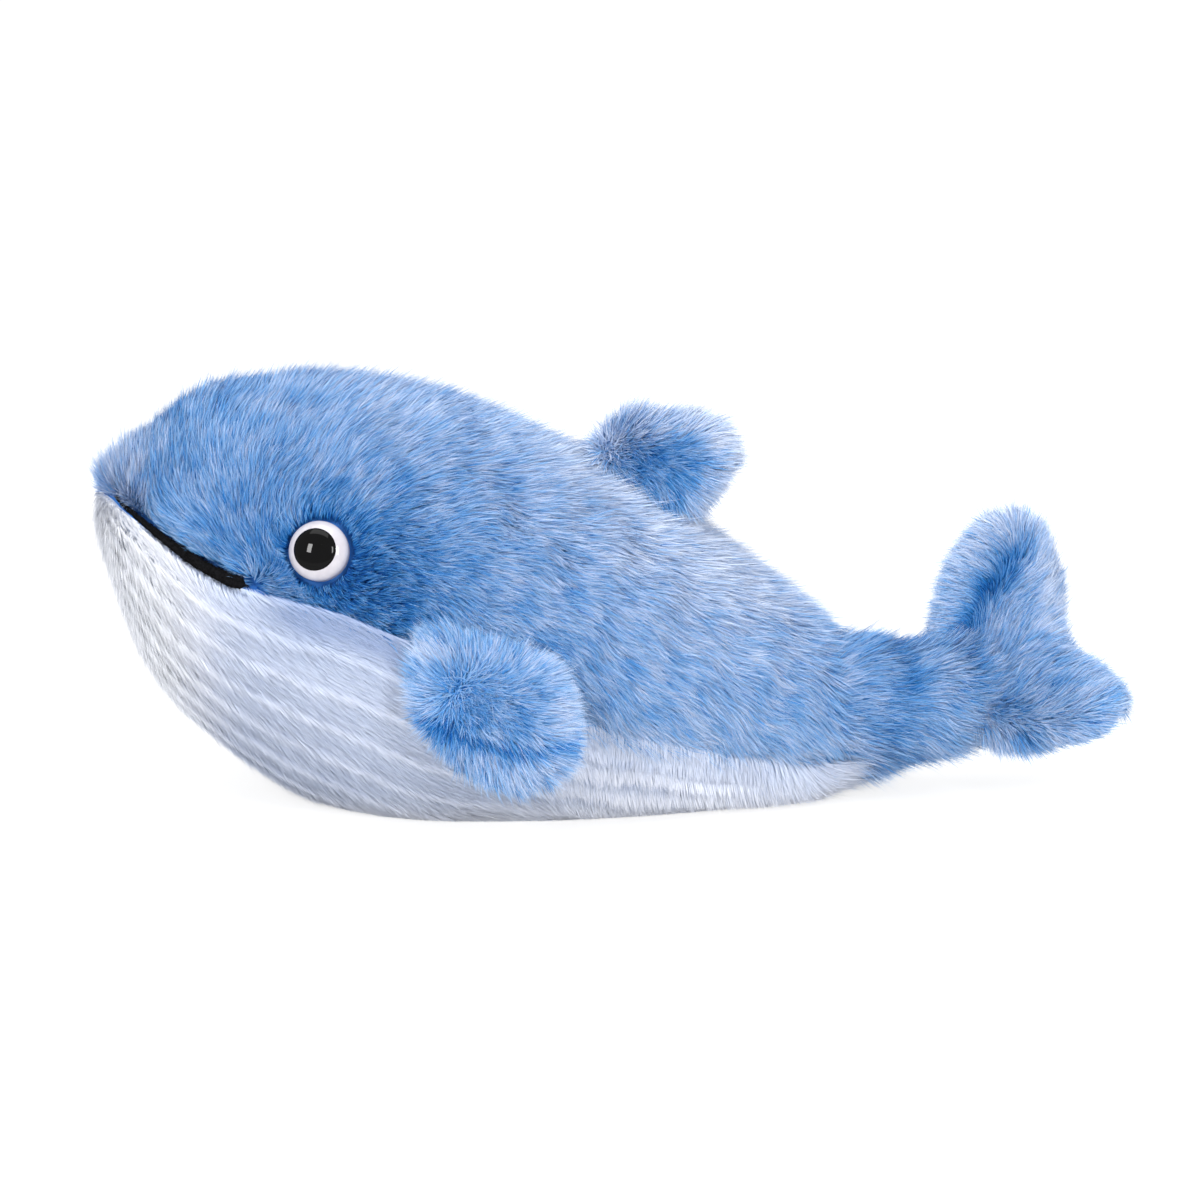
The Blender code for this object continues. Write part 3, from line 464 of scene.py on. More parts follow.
def scatter(face, across, around, per_mm2, random):
    """Places spread evenly over a face: its small cells are drawn in proportion to their area, each place
    somewhere in its cell."""
    cells = 180
    u, v = np.linspace(*across, cells + 1), np.linspace(*around, cells + 1)
    grid = face(u[:, None], v[None, :])
    area = np.cross(grid[1:, :-1] - grid[:-1, :-1], grid[:-1, 1:] - grid[:-1, :-1])
    area = np.linalg.norm(area, axis=2).ravel()
    count = int(area.sum() / MM**2 * per_mm2)
    cell = np.searchsorted(np.cumsum(area) / area.sum(), random.random(count))
    i, j = np.divmod(np.minimum(cell, len(area) - 1), cells)
    return u[i] + (u[1] - u[0]) * random.random(count), v[j] + (v[1] - v[0]) * random.random(count)


def cell_mark(cells, start):
    """A number from 0 to 1 for each cell, always the same: what is left of a large sine of its place."""
    return np.mod(np.sin(cells @ np.array([127.1, 311.7, 74.7]) + start) * 43758.5453, 1)


def tufts(points, size):
    """The middle of each point's tuft and the tuft's own numbers: the nearest of the middles scattered in
    the eight cells round it."""
    base = np.floor(points / size - 0.5)
    best, middle, marks = np.full(len(points), np.inf), points.copy(), np.zeros((len(points), 3))
    for corner in np.ndindex(2, 2, 2):
        cells = base + corner
        own = np.stack([cell_mark(cells, k) for k in (1.0, 2.0, 3.0)], axis=1)
        spot = (cells + 0.15 + 0.7 * own) * size
        away = ((spot - points) ** 2).sum(axis=1)
        near = away < best
        best = np.where(near, away, best)
        middle = np.where(near[:, None], spot, middle)
        marks = np.where(near[:, None], own, marks)
    return middle, marks


def pile(
    name, material, root, normal, comb, rise, lean, tone, random, keep=slice(None), tuft=TUFT, gather=0.35,
    width=BLUE_WIDTH, wild=1.0,
):
    """Hairs as thin kites: a corner at the root, two at the bend and one at the tip. A hair rises by its
    rise along the normal and leans by its lean along the comb, later rather than sooner, and its tip is
    drawn to its tuft's middle. One hair in six is finer, longer and paler, partly its own colour and
    partly painted light shining through fine hairs at the edges. The wilder the pile, the more its tufts
    differ in the way they lie and in tone. Its map holds the tone in one way and runs from root to tip in
    the other."""
    root, normal, comb, rise, lean, tone = (each[keep] for each in (root, normal, comb, rise, lean, tone))
    count = len(root)
    middle, marks = tufts(root, tuft)
    comb = comb + 0.28 * wild * ripple(root, 17 * MM, 5)[:, None] * np.cross(normal, comb)
    stray = 0.5 * (marks[:, :1] - 0.5) + 0.17 * random.normal(size=(count, 1))
    comb = unit(flattened(comb + wild * stray * np.cross(normal, comb), normal))
    pull = gather * flattened(middle - root, normal)
    fine = random.random((count, 1)) < FINE_SHARE
    uneven = np.clip(1 + 0.16 * random.normal(size=(count, 1)) + 0.2 * (marks[:, 1:2] - 0.5), 0.55, 1.5)
    rise = rise.reshape(-1, 1) * (0.7 + 0.3 * uneven) * np.where(fine, 1.3, 1)
    lean = lean.reshape(-1, 1) * uneven
    tip = root + rise * normal + lean * comb + pull
    bend = root + BEND_RISE * rise * normal + BEND_LEAN * (lean * comb + pull)
    ahead = unit(tip - bend)
    flat = unit(np.cross(ahead, normal + 1e-4))  # the nudge keeps the two apart
    twist = (0.35 + 0.6 * wild) * random.uniform(-1, 1, (count, 1))
    half = 0.5 * width * random.uniform(0.75, 1.3, (count, 1)) * np.where(fine, 0.6, 1)
    half = half * (flat * np.cos(twist) + np.cross(ahead, flat) * np.sin(twist))
    points = np.stack([root, bend - half, bend + half, tip], axis=1)
    points[..., 2] = np.maximum(points[..., 2], 0.2 * MM)
    corners = (4 * np.arange(count)[:, None] + np.array([0, 2, 1, 1, 2, 3])).ravel()
    piece = put(name, points.reshape(-1, 3), corners, np.full(2 * count, 3), material)
    shade = tone + wild * (0.26 * (marks[:, 2] - 0.5) + 0.05 * ripple(root, 11 * MM, 9))
    shade = shade + wild * 0.21 * (0.75 - np.abs(random.normal(size=count)))
    # Fine hairs a little paler: partly their own colour, partly painted light shining through them.
    shade = np.clip(shade + 0.03 * fine[:, 0], 0.01, 0.99)[:, None]
    slim = MAP_SIDE * np.array([0, 1, -1, -1, 1, 0])
    along = ROOT_TO_TIP * np.array([0, 0.5, 0.5, 0.5, 0.5, 1]) + 0 * shade
    spots = piece.data.uv_layers.new(name="OFBake")
    spots.uv.foreach_set("vector", np.stack([shade + slim, along], axis=2).astype(np.float32).ravel())
    return piece


# Materials


def new_material(name):
    """A node material and its shader."""
    material = bpy.data.materials.new(name)
    material.use_nodes = True
    return material, material.node_tree.nodes["Principled BSDF"]


def add(material, kind, values=(), links=(), stops=(), **settings):
    """Adds one node with its settings, its sockets' values, the links into them and, if it has any, its
    colour stops, of which the first two are the ramp's ends."""
    made = material.node_tree.nodes.new(kind)
    for name, value in settings.items():
        setattr(made, name, value)
    for socket, value in dict(values).items():
        made.inputs[socket].default_value = value
    for socket, source in dict(links).items():
        material.node_tree.links.new(source, made.inputs[socket])
    for k, (place, code) in enumerate(stops):
        stop = made.color_ramp.elements[k] if k < 2 else made.color_ramp.elements.new(place)
        stop.position, stop.color = place, linear(code)
    return made


def finish_with(material, shader, values, links=()):
    """Sets the shader's plain sockets and links the others."""
    for socket, value in values.items():
        shader.inputs[socket].default_value = value
    for socket, source in dict(links).items():
        material.node_tree.links.new(source, shader.inputs[socket])
    return material


def pile_material(name, stops, depth_of_root, paler_tip, gloss, sheen, sheen_code):
    """Dyed acrylic pile, brushed and steamed. Each hair is deep at its root and pale at its tip: partly its
    dye, partly painted shade deep among the hairs and painted light shining through the tips. Hairs of
    one tuft share a tone, and the tips catch a soft light at the edges. The map's first way is the hair's
    tone and its second way runs from root to tip, in the lowest seventh of the map."""
    material, shader = new_material(name)
    place = add(material, "ShaderNodeUVMap", uv_map="OFBake")
    parts = add(material, "ShaderNodeSeparateXYZ", links={0: place.outputs[0]})
    # From root to tip the tone rises: partly the dye, partly painted shade at the root and painted light at
    # the tip.
    span = {"From Max": ROOT_TO_TIP, "To Min": -depth_of_root, "To Max": paler_tip}
    along = add(material, "ShaderNodeMapRange", span, {"Value": parts.outputs["Y"]})
    both = {0: parts.outputs["X"], 1: along.outputs[0]}
    tone = add(material, "ShaderNodeMath", links=both, operation="ADD", use_clamp=True)
    dye = add(material, "ShaderNodeValToRGB", links={0: tone.outputs[0]}, stops=stops)
    return finish_with(
        material, shader,
        {"Roughness": 0.65, "Specular IOR Level": gloss, "Sheen Weight": sheen, "Sheen Roughness": 0.45,
         "Sheen Tint": linear(sheen_code)},
        {"Base Color": dye.outputs[0]},
    )


BLUE_PILE = pile_material(
    "long_acrylic_pile_blue",
    [(0.0, "#0F57A8"), (1.0, "#DAE3F3"), (0.22, "#2C7DC5"), (0.42, "#5D9EDA"), (0.6, "#8DB6E0"),
     (0.8, "#B8CBE9")],
    depth_of_root=0.34, paler_tip=0.14, gloss=0.10, sheen=0.04, sheen_code="#DCE8FF",
)
# The white's darkest stops are reached mostly by painted shade in the tucks and by the seam.
WHITE_PILE = pile_material(
    "short_acrylic_pile_white",
    [(0.0, "#8DA3CC"), (1.0, "#F8FAFF"), (0.3, "#BFCBE2"), (0.55, "#D6DEEF"), (0.75, "#E8ECF7")],
    depth_of_root=0.08, paler_tip=0.16, gloss=0.20, sheen=0.08, sheen_code="#FFFFFF",
)


def grained(name, kind, pattern, stops, relief, surface):
    """A material whose colour and relief follow one pattern on Object coordinates. The relief is a strength
    and a depth, and the surface is what the shader's own sockets hold."""
    material, shader = new_material(name)
    place = add(material, "ShaderNodeTexCoord")
    grain = add(material, kind, pattern, {"Vector": place.outputs["Object"]})
    dye = add(material, "ShaderNodeValToRGB", links={0: grain.outputs["Fac"]}, stops=stops)
    bumps = dict(zip(("Strength", "Distance"), relief))
    rise = add(material, "ShaderNodeBump", bumps, {"Height": grain.outputs["Fac"]})
    return finish_with(material, shader, surface, {"Base Color": dye.outputs[0], "Normal": rise.outputs[0]})


def knit_backing(name, code, groove_shade_code):
    """Polyester knit that the pile is tufted through. To the eye it is a dull dark cloth with ribs 1.2 mm
    apart, coarser than the real knit so that they show. Its colour is painted darker in the grooves
    between the ribs, as shade."""
    return grained(
        name, "ShaderNodeTexWave", {"Scale": 1 / (1.2 * MM) / 20, "Distortion": 2.0},
        # The darker colour lies in the grooves: painted shade.
        [(0.0, groove_shade_code), (1.0, code)], (0.4, 0.3 * MM), {"Roughness": 0.9, "Specular IOR Level": 0.15},
    )


BLUE_BACKING = knit_backing("polyester_knit_backing_blue", "#3F78C4", "#2A5FA8")
WHITE_BACKING = knit_backing("polyester_knit_backing_white", "#D2DDF0", "#BDCBE6")

# Crimped polyester fibre pressed into lumps. To the eye it is matt white, with painted grey shade in the
# hollows between lumps 4 mm apart.
FIBREFILL = grained(
    "polyester_fibrefill", "ShaderNodeTexNoise", {"Scale": 1 / (4 * MM), "Detail": 5.0},
    [(0.3, "#C9C9C4"), (0.7, "#F2F2EE")], (0.6, 0.8 * MM),
    {"Roughness": 0.95, "Specular IOR Level": 0.1, "Sheen Weight": 0.3},
)

# Black chenille yarn, cut pile on a twisted core. To the eye it is nearly black, with a few grey fibre ends
# 0.8 mm apart.
YARN = grained(
    "black_chenille_yarn", "ShaderNodeTexNoise", {"Scale": 1 / (0.8 * MM), "Detail": 3.0},
    [(0.4, "#050506"), (0.75, "#17171A")], (0.8, 0.3 * MM), {"Roughness": 0.85, "Specular IOR Level": 0.12},
)


def moulded_plastic(name, code, shade_code, roughness, gloss, waviness):
    """Injection-moulded plastic. To the eye it is smooth and even with a trace of flow 3 mm long, and its
    gloss shows lamps as clear shapes."""
    return grained(
        name, "ShaderNodeTexNoise", {"Scale": 1 / (3 * MM), "Detail": 2.0},
        [(0.35, shade_code), (0.65, code)], (waviness, 0.02 * MM),
        {"Roughness": roughness, "IOR": 1.53, "Specular IOR Level": gloss},
    )


EYE_WHITE = moulded_plastic("glossy_abs_white", "#BBB8BE", "#B3AFB6", 0.06, 0.4, 0.02)
EYE_BLACK = moulded_plastic("glossy_abs_black", "#030304", "#020202", 0.03, 0.12, 0.01)
WASHER_PLASTIC = moulded_plastic("natural_nylon", "#D9DADA", "#CBCDCE", 0.45, 0.5, 0.3)


# Pieces


def backings():
    """The closed backing under the pile of the body, the stalk, the flukes and each fin. The body's is blue
    over its back and white over its belly and its nose."""
    rows, over, under = 90, 121, 143
    reach = NOSE_REACH + (1 - NOSE_REACH) * np.linspace(0, 1, rows) ** 0.85
    angle = np.linspace(-1, 1, over) * body_section(reach)[4][:, None]
    share = np.linspace(0, 1, under + 2)[None, 1:-1]
    back = body_under(reach[:, None], angle, BLUE_DEPTH)[0]
    belly = belly_under(reach[:, None], share)[0]
    whole = skin("body_backing", np.concatenate([back, belly], axis=1), BLUE_BACKING)
    whole.data.materials.append(WHITE_BACKING)
    ring = over + under
    quads = ring * (rows - 1)
    face = np.arange(len(whole.data.polygons))
    white = np.where(face < quads, face % ring >= over, face < quads + ring)
    whole.data.polygons.foreach_set("material_index", white.astype(np.int32))
    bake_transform(whole)
    turns = round_turns(60)[None, :]
    t = np.linspace(-0.38, 0.9, 60)[:, None]
    stalk = skin("stalk_backing", stalk_face(t, turns, BLUE_DEPTH), BLUE_BACKING)
    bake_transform(stalk)
    climb = FLUKE_END * np.linspace(-1, 1, 70)[:, None]
    flukes = skin("fluke_backing", fluke_face(climb, turns, FIN_DEPTH), BLUE_BACKING)
    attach(flukes, "tail")
    across, around = np.linspace(0.03, 1.97, 60)[:, None], np.arange(72)[None, :] / 72
    for body, form in FINS.items():
        cover = skin(f"{body}_backing", form(across, around, FIN_DEPTH), BLUE_BACKING)
        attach(cover, body)


def lumpy(points, size, depth, start):
    """The points drawn towards their middle line here and there, as loose fibre packs: by a depth times a
    wandering value."""
    middle = points.mean(axis=1, keepdims=True)
    share = depth * (0.5 + 0.5 * np.clip(ripple(points, size, start), -1, 1))
    return points + unit(middle - points) * share[..., None]


def fillings():
    """The stuffing of the body, the stalk, the flukes and each fin, each a lumpy closed form in the place
    of its CAD node."""
    reach, turns = np.linspace(0.09, 0.985, 90)[:, None], round_turns(96)[None, :]
    inside = body_under(reach, turns, FILLING_DEPTH)[0]
    stuffing = skin("body_fibrefill", lumpy(inside, 26 * MM, 2.5 * MM, 31), FIBREFILL)
    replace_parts(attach(stuffing, "body"), "body_filling")
    turns = turns[:, ::2]
    inside = stalk_face(np.linspace(-0.1, 0.75, 40)[:, None], turns, FILLING_DEPTH)
    stalk = skin("stalk_fibrefill", lumpy(inside, 14 * MM, 1 * MM, 32), FIBREFILL)
    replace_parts(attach(stalk, "tail"), "tail_stalk_filling")
    inside = fluke_face(np.linspace(-0.93, 0.93, 60)[:, None] * math.pi / 2, turns, FILLING_DEPTH)
    flukes = skin("fluke_fibrefill", lumpy(inside, 14 * MM, 0.6 * MM, 33), FIBREFILL)
    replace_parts(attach(flukes, "tail"), "fluke_filling")
    across, around = np.linspace(0.04, 1.96, 40)[:, None], np.arange(60)[None, :] / 60
    for body, form in FINS.items():
        wad = skin(f"{body}_fibrefill", form(across, around, FIN_FILLING_DEPTH), FIBREFILL)
        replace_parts(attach(wad, body), f"{body}_filling")


def part_round_eye(root, comb, side):
    """How near each hair is to the eye, 1 at its rim and 0 from 7 mm away, the comb turned away from the
    eye, and which hairs lie clear of it."""
    middle, look = seat(EYE_PLACE, side * EYE_TURN)
    flat = flattened(root - middle, look)
    away = np.linalg.norm(flat, axis=1)
    near = np.clip(1 - (away - EYE_RADIUS) / (7 * MM), 0, 1)
    comb = unit(comb * (1 - 0.8 * near[:, None]) + 0.8 * near[:, None] * unit(flat))
    return near, comb, away > EYE_RADIUS + 0.3 * MM


def mouth_width(reach):
    """The yarn's radius, which grows from the nose to the corner."""
    return (0.15 + 2.05 * np.clip(np.abs(reach) / math.sqrt(MOUTH_CORNER), 0, 1) ** 1.5) * MM


def part_round_mouth(reach, gap, width):
    """How near each hair is to the mouth, 1 at its seam and 0 from a width away and past its corner, how
    far the comb turns away from the yarn, which grows towards the corner, and which hairs the yarn leaves
    free."""
    near = np.clip(1 - gap / width, 0, 1) * (1 - ease((reach - 0.40) / 0.06))
    under_yarn = gap < (mouth_width(reach) + 0.1 * MM) * ease((reach - 0.12) / 0.1)
    return near, 0.9 * ease((reach - 0.20) / 0.14), ~(under_yarn & (reach < math.sqrt(MOUTH_CORNER)))


def back_pile(name, side, ends, node, seed):
    """The blue pile of one side of the back between two places. It is combed to the tail and a little down,
    and on the head it fans out from the mouth's corner. It is paler along the crown and darker on the
    cheek, partly its own colour and partly painted light from above and painted shade. It has painted
    shade round the eye and a painted shadow behind the flipper."""

    def face(reach, share):
        return body_round(reach, share * body_section(reach)[4])

    random = np.random.default_rng(seed)
    across = (0, 1.03) if side == 1 else (-1.03, 0)
    reach, share = scatter(face, ends, across, BLUE_PER_MM2, random)
    half_width, seam = body_section(reach)[3:]
    root, normal, along = body_under(reach, share * seam, BLUE_DEPTH)
    count, x = len(root), root[:, 0]
    corner = math.sqrt(FAN_PLACE)
    away = flattened(root - face(corner, side), normal)
    far = np.linalg.norm(away, axis=1, keepdims=True)
    pull = bell(far, 55 * MM) * ease(far / (8 * MM))
    up = side * unit(np.cross(normal, along))
    flank = (0.50 * ease(np.abs(share) / 0.5) * ease((reach - 0.50) / 0.25))[:, None]
    comb = unit(along * (1 - pull) + unit(away) * pull - flank * (1 - pull) * up)
    near_eye, comb, clear = part_round_eye(root, comb, side)
    gap = (1 - np.abs(share)) * seam * half_width
    near_mouth, turned, free = part_round_mouth(reach, gap, 9 * MM)
    comb = unit(comb + (near_mouth * (turned - 0.12))[:, None] * up)
    by_seam = bell(gap, 6 * MM) * (reach >= math.sqrt(MOUTH_CORNER))
    middle, top, foot = (seat(place, side * turn)[0] for place, turn in (CHEEK, *BEHIND_FLIPPER))
    # The cheek, darker partly as painted shade, and a strip behind the flipper's upper rear edge that takes a
    # painted shadow.
    cheek = bell(np.linalg.norm(root - middle, axis=1), 21 * MM)
    way = foot - top
    climb = np.clip((root - top) @ way / (way @ way), 0, 1)[:, None]
    painted_shadow_behind_fin = bell(np.linalg.norm(root - top - climb * way, axis=1), 7 * MM)
    short = 1 - 0.45 * np.maximum(near_eye, 0.8 * near_mouth)
    proud = 0.7 * MM + np.abs(random.normal(size=count)) * 1.4 * MM
    head, end = bell(far[:, 0], 60 * MM), ease((x - 92 * MM) / (14 * MM))
    nose, brow = ease((0.30 - reach) / 0.22), ease((0.42 - reach) / 0.30) * ease((reach - 0.12) / 0.12)
    rise = BLUE_DEPTH + proud - 1.2 * MM * cheek - 1.2 * MM * end - 2.2 * MM * by_seam
    rise = rise * short * (1 - 0.3 * brow)
    lean = BLUE_LEAN * short * (1 - 0.45 * cheek) * (1 - 0.2 * head) * (1 - 0.3 * brow)
    lean = lean + 6 * MM * end * random.random(count) ** 2
    rear = ease((x + 25 * MM) / (90 * MM))
    # The crown is paler, partly its own colour and partly painted light from above.
    crown = bell(share, 0.45 + 0.03 * rear) * ease((reach - 0.35) / 0.25) * ease((1.02 - reach) / 0.12)
    tone = 0.53 + 0.14 * crown * (1 + 1.8 * rear) + 0.03 * rear - 0.05 * head + 0.26 * nose
    # Painted shade: on the cheek (partly its own colour), round the eye and, as a painted shadow, behind the
    # flipper.
    tone = tone - 0.37 * cheek - 0.07 * near_eye - 0.16 * painted_shadow_behind_fin
    tone = tone - 0.06 * end + 0.10 * by_seam + 0.12 * cheek * random.normal(size=count)
    made = pile(name, BLUE_PILE, root, normal, comb, rise, lean, tone, random, clear & free)
    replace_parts(made, node)
    return made


def belly_pile(name, ends, across, seed):
    """The short white pile of one part of the belly. On the front it lies along the pleats, and at the rear
    it hangs down over them in soft folds. Its tone holds painted light and shade: a painted highlight on
    each ridge and on the brim of each fold, painted shade between two ridges, under each fold and next to
    the blue, and painted light on the chin and towards the bottom."""

    def face(reach, share):
        return body_round(reach, belly_angle(reach, share))

    random = np.random.default_rng(seed)
    reach, share = scatter(face, ends, across, WHITE_PER_MM2, random)
    root, normal, along = belly_under(reach, share)
    seen = random.random(len(root)) < 0.5 + 0.5 * ease(root[:, 2] / (8 * MM) - 0.3)
    reach, share, root, normal, along = (each[seen] for each in (reach, share, root, normal, along))
    count, x, height = len(root), root[:, 0], root[:, 2]
    lifted, front, rear = ease(height / PLEAT_LIFT), towards_chin(x), ease((x + 5 * MM) / (50 * MM))
    droop = ease((x - 58 * MM) / (36 * MM)) * ease(height / (6 * MM))
    half_width, seam = body_section(reach)[3:]
    inward = np.minimum(share, 1 - share)
    gap = inward * 2 * (math.pi - seam) * half_width
    fold = PLEATS * inward + rear * (0.22 * ripple(root, 38 * MM, 12) + 0.07 * ripple(root, 11 * MM, 13))
    folded = lifted * rear * ease((gap - 6 * MM) / (4 * MM))
    # Crest and brim take painted highlights, valley and tuck painted shade; they also shape the pile.
    crest = bell(np.sin(math.pi * fold), 0.24) * lifted * (1 - rear)
    valley = bell(np.cos(math.pi * fold), 0.60) * lifted * (1 - rear)
    brim = bell(np.sin(math.pi * (fold - 0.82)), 0.45) * folded
    tuck = bell(np.sin(math.pi * (fold - 0.27)), 0.44) * folded
    down = np.where(share < 0.5, -1, 1)[:, None] * unit(np.cross(normal, along))
    end = ease((x - 88 * MM) / (16 * MM))
    near_mouth, turned, free = part_round_mouth(reach, gap, 8 * MM)
    fall = (0.22 + 1.1 * rear + 0.08 * (1 - rear) * np.sin(TURN * fold)) * (1 - end) * lifted
    fall = fall + near_mouth * (turned - 0.2)
    comb = unit((1 - 0.8 * rear * (1 - end))[:, None] * along + fall[:, None] * down)
    proud = (0.5 + 0.3 * np.abs(random.normal(size=count))) * MM
    ruffle = (0.35 * (crest - valley) + 1.9 * brim - 2.0 * tuck) * MM
    # Painted shade on the white next to the blue, which also shortens the pile there.
    by_seam = bell(gap, 10 * MM) * ease((reach - 0.41) / 0.10)
    rise = (WHITE_DEPTH + proud + ruffle + 4.0 * MM * droop) * (1 - 0.35 * near_mouth) - 0.6 * MM * by_seam
    lean = WHITE_LEAN * (1 - 0.3 * near_mouth - 0.36 * rear * (1 - end)) * (1 - 0.3 * brim - 0.5 * tuck)
    lean = lean + 9 * MM * end * random.random(count)
    # Painted light towards the bottom and on the chin, where the belly is lit less.
    low, chin = 1 - ease(height / (16 * MM)), ease((-70 * MM - x) / (30 * MM))
    # Tone: painted highlights on crests and brims, painted shade in valleys, tucks and by the seam, painted
    # light low down and on the chin.
    tone = 0.36 + 0.02 * front + 0.52 * chin + 0.24 * rear + 0.15 * crest - 0.04 * valley + 0.10 * brim
    tone = tone - 0.70 * tuck + 0.34 * low * (1 - 0.8 * rear) - 0.46 * (1 - 0.6 * rear) * by_seam
    made = pile(
        name, WHITE_PILE, root, normal, comb, rise, lean, tone, random, free,
        tuft=SHORT_TUFT, gather=0.05, width=WHITE_WIDTH, wild=0.25,
    )
    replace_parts(made, "belly_panel")
    return made


def fin_pile(label, centre, trail, halo, nodes, tone, paler, seed):
    """The blue pile of one fin, fanned out from a point of its face towards its rim, where it is palest,
    partly its own colour and partly a painted rim light. Near that point it lies loosely along the trail
    instead and is darker, with painted shade. The halo says how many millimetres longer the hairs of the
    rim are, per unit of their way ahead where they point to the nose, where they point to the tail, and
    per unit of their way down. A flipper's pile is darkened along a crease that follows its lower edge:
    a painted shadow line."""
    place = FIN_PLACES[label]

    def face(across, around):
        return FINS[label](across, around, FIN_DEPTH)

    random = np.random.default_rng(seed)
    across, around = scatter(face, (0.03, 1.97), (0, 1), BLUE_PER_MM2 * 1.6, random)
    root, normal, _ = lie(face, across, around)
    if ((root - root.mean(axis=0)) * normal).sum() < 0:
        normal = -normal
    hub = place[0] + centre[0] * MM * place[1] + centre[1] * MM * place[2]
    away = flattened(root - hub, place[3])
    far = np.linalg.norm(away, axis=1, keepdims=True)
    out = ease(far / (19 * MM))
    comb = unit(away) * out + unit(trail[0] * place[1] + trail[1] * place[2]) * (1 - out) * 0.8
    comb = flattened(comb + 0.3 * (1 - out) * random.normal(size=comb.shape), normal)
    far, out = far[:, 0], out[:, 0]
    rim = ease((np.sin(across * math.pi / 2) - 0.45) / 0.55)
    ahead, down = (unit(away) @ place[k] for k in (1, 2))
    longer = MM * rim * (np.where(ahead < 0, halo[0], halo[1]) * ahead + halo[2] * down)
    proud = 0.6 * MM + np.abs(random.normal(size=len(root))) * 1.4 * MM
    rise = (FIN_DEPTH + proud + longer) * (0.72 + 0.28 * out)
    lean = BLUE_LEAN * (0.72 + 0.25 * rim) * (0.75 + 0.25 * out)
    tip = root + rise[:, None] * normal + lean[:, None] * unit(comb)
    at, low = ((tip - place[0]) @ place[k] / MM for k in (1, 2))
    # A painted shadow line along the flipper's lower crease, where the hair tips land.
    crease = bell(low - 26.8 + 0.010 * (at - 28) ** 2, 1.3) * (across < 1) * (label != "dorsal_fin")
    # Tone: paler rim, partly a painted rim light; darker crease and hub, painted shade.
    shade = tone - 0.06 + paler * rim - 0.45 * crease - 0.22 * bell(far, 12 * MM)
    outside = ~within_body(root, 3 * MM)
    made = pile(f"{label}_pile", BLUE_PILE, root, normal, comb, rise, lean, shade, random, outside)
    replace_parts(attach(made, label), *nodes)


def stalk_pile(seed):
    """The blue pile of the stalk, combed along it to the flukes. It is fuller where it comes out of the
    body, longer below, and hairs deep inside the flukes are left out."""

    def face(t, turn):
        return stalk_face(t, turn, BLUE_DEPTH)

    random = np.random.default_rng(seed)
    t, turn = scatter(face, (-0.34, 0.95), (0, TURN), BLUE_PER_MM2 * 1.2, random)
    root, normal, along = lie(face, t, turn)
    middle = (face(t, turn) + face(t, turn + math.pi)) / 2
    normal = turned_out(normal, root - middle)
    outside = ~within_flukes(root, BLUE_DEPTH + 2.5 * MM)
    proud = 0.8 * MM + np.abs(random.normal(size=len(root))) * 1.3 * MM
    start = 1 - ease((root[:, 0] - 110 * MM) / (16 * MM))
    below = np.clip(-normal[:, 2], 0, 1)
    seam = bell(root[:, 0] - 122 * MM, 8 * MM)
    rise = BLUE_DEPTH + proud + 1.0 * MM * start * below - 1.2 * MM * seam
    lean = BLUE_LEAN + 2 * MM * start
    # Tone: paler where the stalk faces down, painted light on its underside, and darker by the seam with the
    # body.
    tone = 0.55 - 0.16 * seam + 0.12 * below * (1 - 0.5 * start)
    made = pile("stalk_pile", BLUE_PILE, root, normal, along, rise, lean, tone, random, outside)
    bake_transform(made)
    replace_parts(made, "tail_stalk_panel")


def fluke_pile(name, ends, node, upper, seed):
    """The blue pile of one lobe of the flukes. The upper lobe is parted along a crease from the front of the
    stalk to its tip, darkened along it with painted shade, and the lower one is combed back and down. Both
    are palest at the rim, partly their own colour and partly a painted rim light."""

    def face(climb, turn):
        return fluke_face(climb, turn, FIN_DEPTH)

    random = np.random.default_rng(seed)
    climb, turn = scatter(face, ends, (0, TURN), BLUE_PER_MM2 * 1.4, random)
    root, normal, _ = lie(face, climb, turn)
    share = np.sin(climb)
    front, rear, _ = fluke_edges(share)
    middle = (face(climb, 0 * turn) + face(climb, 0 * turn + math.pi)) / 2
    normal = turned_out(normal, root - middle)
    outside = ~within_stalk(root, BLUE_DEPTH + 2.5 * MM)
    across = np.abs(share)
    place = ((root - FLUKE_CENTRE) @ FLUKE_AHEAD) / FLUKE_REACH
    parting = np.minimum(0.13 + 0.8 * across, 0.7) if upper else 0.1
    side = place - front - parting * (rear - front)
    outward, sway = (0.35 + 0.35 * across) * np.tanh(share / 0.15), np.tanh(side / 0.20)
    way = outward[:, None] * FLUKE_SPREAD + sway[:, None] * FLUKE_AHEAD
    if not upper:
        way = way + ease(across / 0.25)[:, None] * (np.array([1.0, 0.15, -0.15]) - way)
    comb = flattened(way, normal)
    rim = np.maximum(np.abs(np.cos(turn)) ** 3, ease((across - 0.5) / 0.5))
    proud = 0.6 * MM + np.abs(random.normal(size=len(root))) * 1.4 * MM
    crease = bell(side, 0.12) * (normal @ FLUKE_FACE > 0) * (1 - ease((across - 0.55) / 0.3)) * upper
    below = np.clip(-normal[:, 2], 0, 1) * (not upper)
    tip = np.clip(-normal @ FLUKE_SPREAD + 0.2, 0, 1) * (not upper)
    flat = ease(across / 0.3) * (not upper)
    shorter = np.maximum(2.6 * np.maximum(tip, 0.5 * below), 2.2 * flat)
    rise = FIN_DEPTH + proud - 0.9 * MM * (rim + crease) - MM * shorter
    lean = BLUE_LEAN * (0.85 - 0.35 * crease + 0.15 * np.maximum(tip, flat))
    normal = unit(normal + 0.9 * below[:, None] * np.array([0, -0.45, 0.90]))
    # Tone: painted shade along the crease, and a paler rim, partly a painted rim light.
    tone = (0.60 if upper else 0.56) - 0.38 * crease + (0.20 if upper else 0.08) * rim
    made = pile(name, BLUE_PILE, root, normal, comb, rise, lean, tone, random, outside)
    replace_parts(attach(made, "tail"), node)


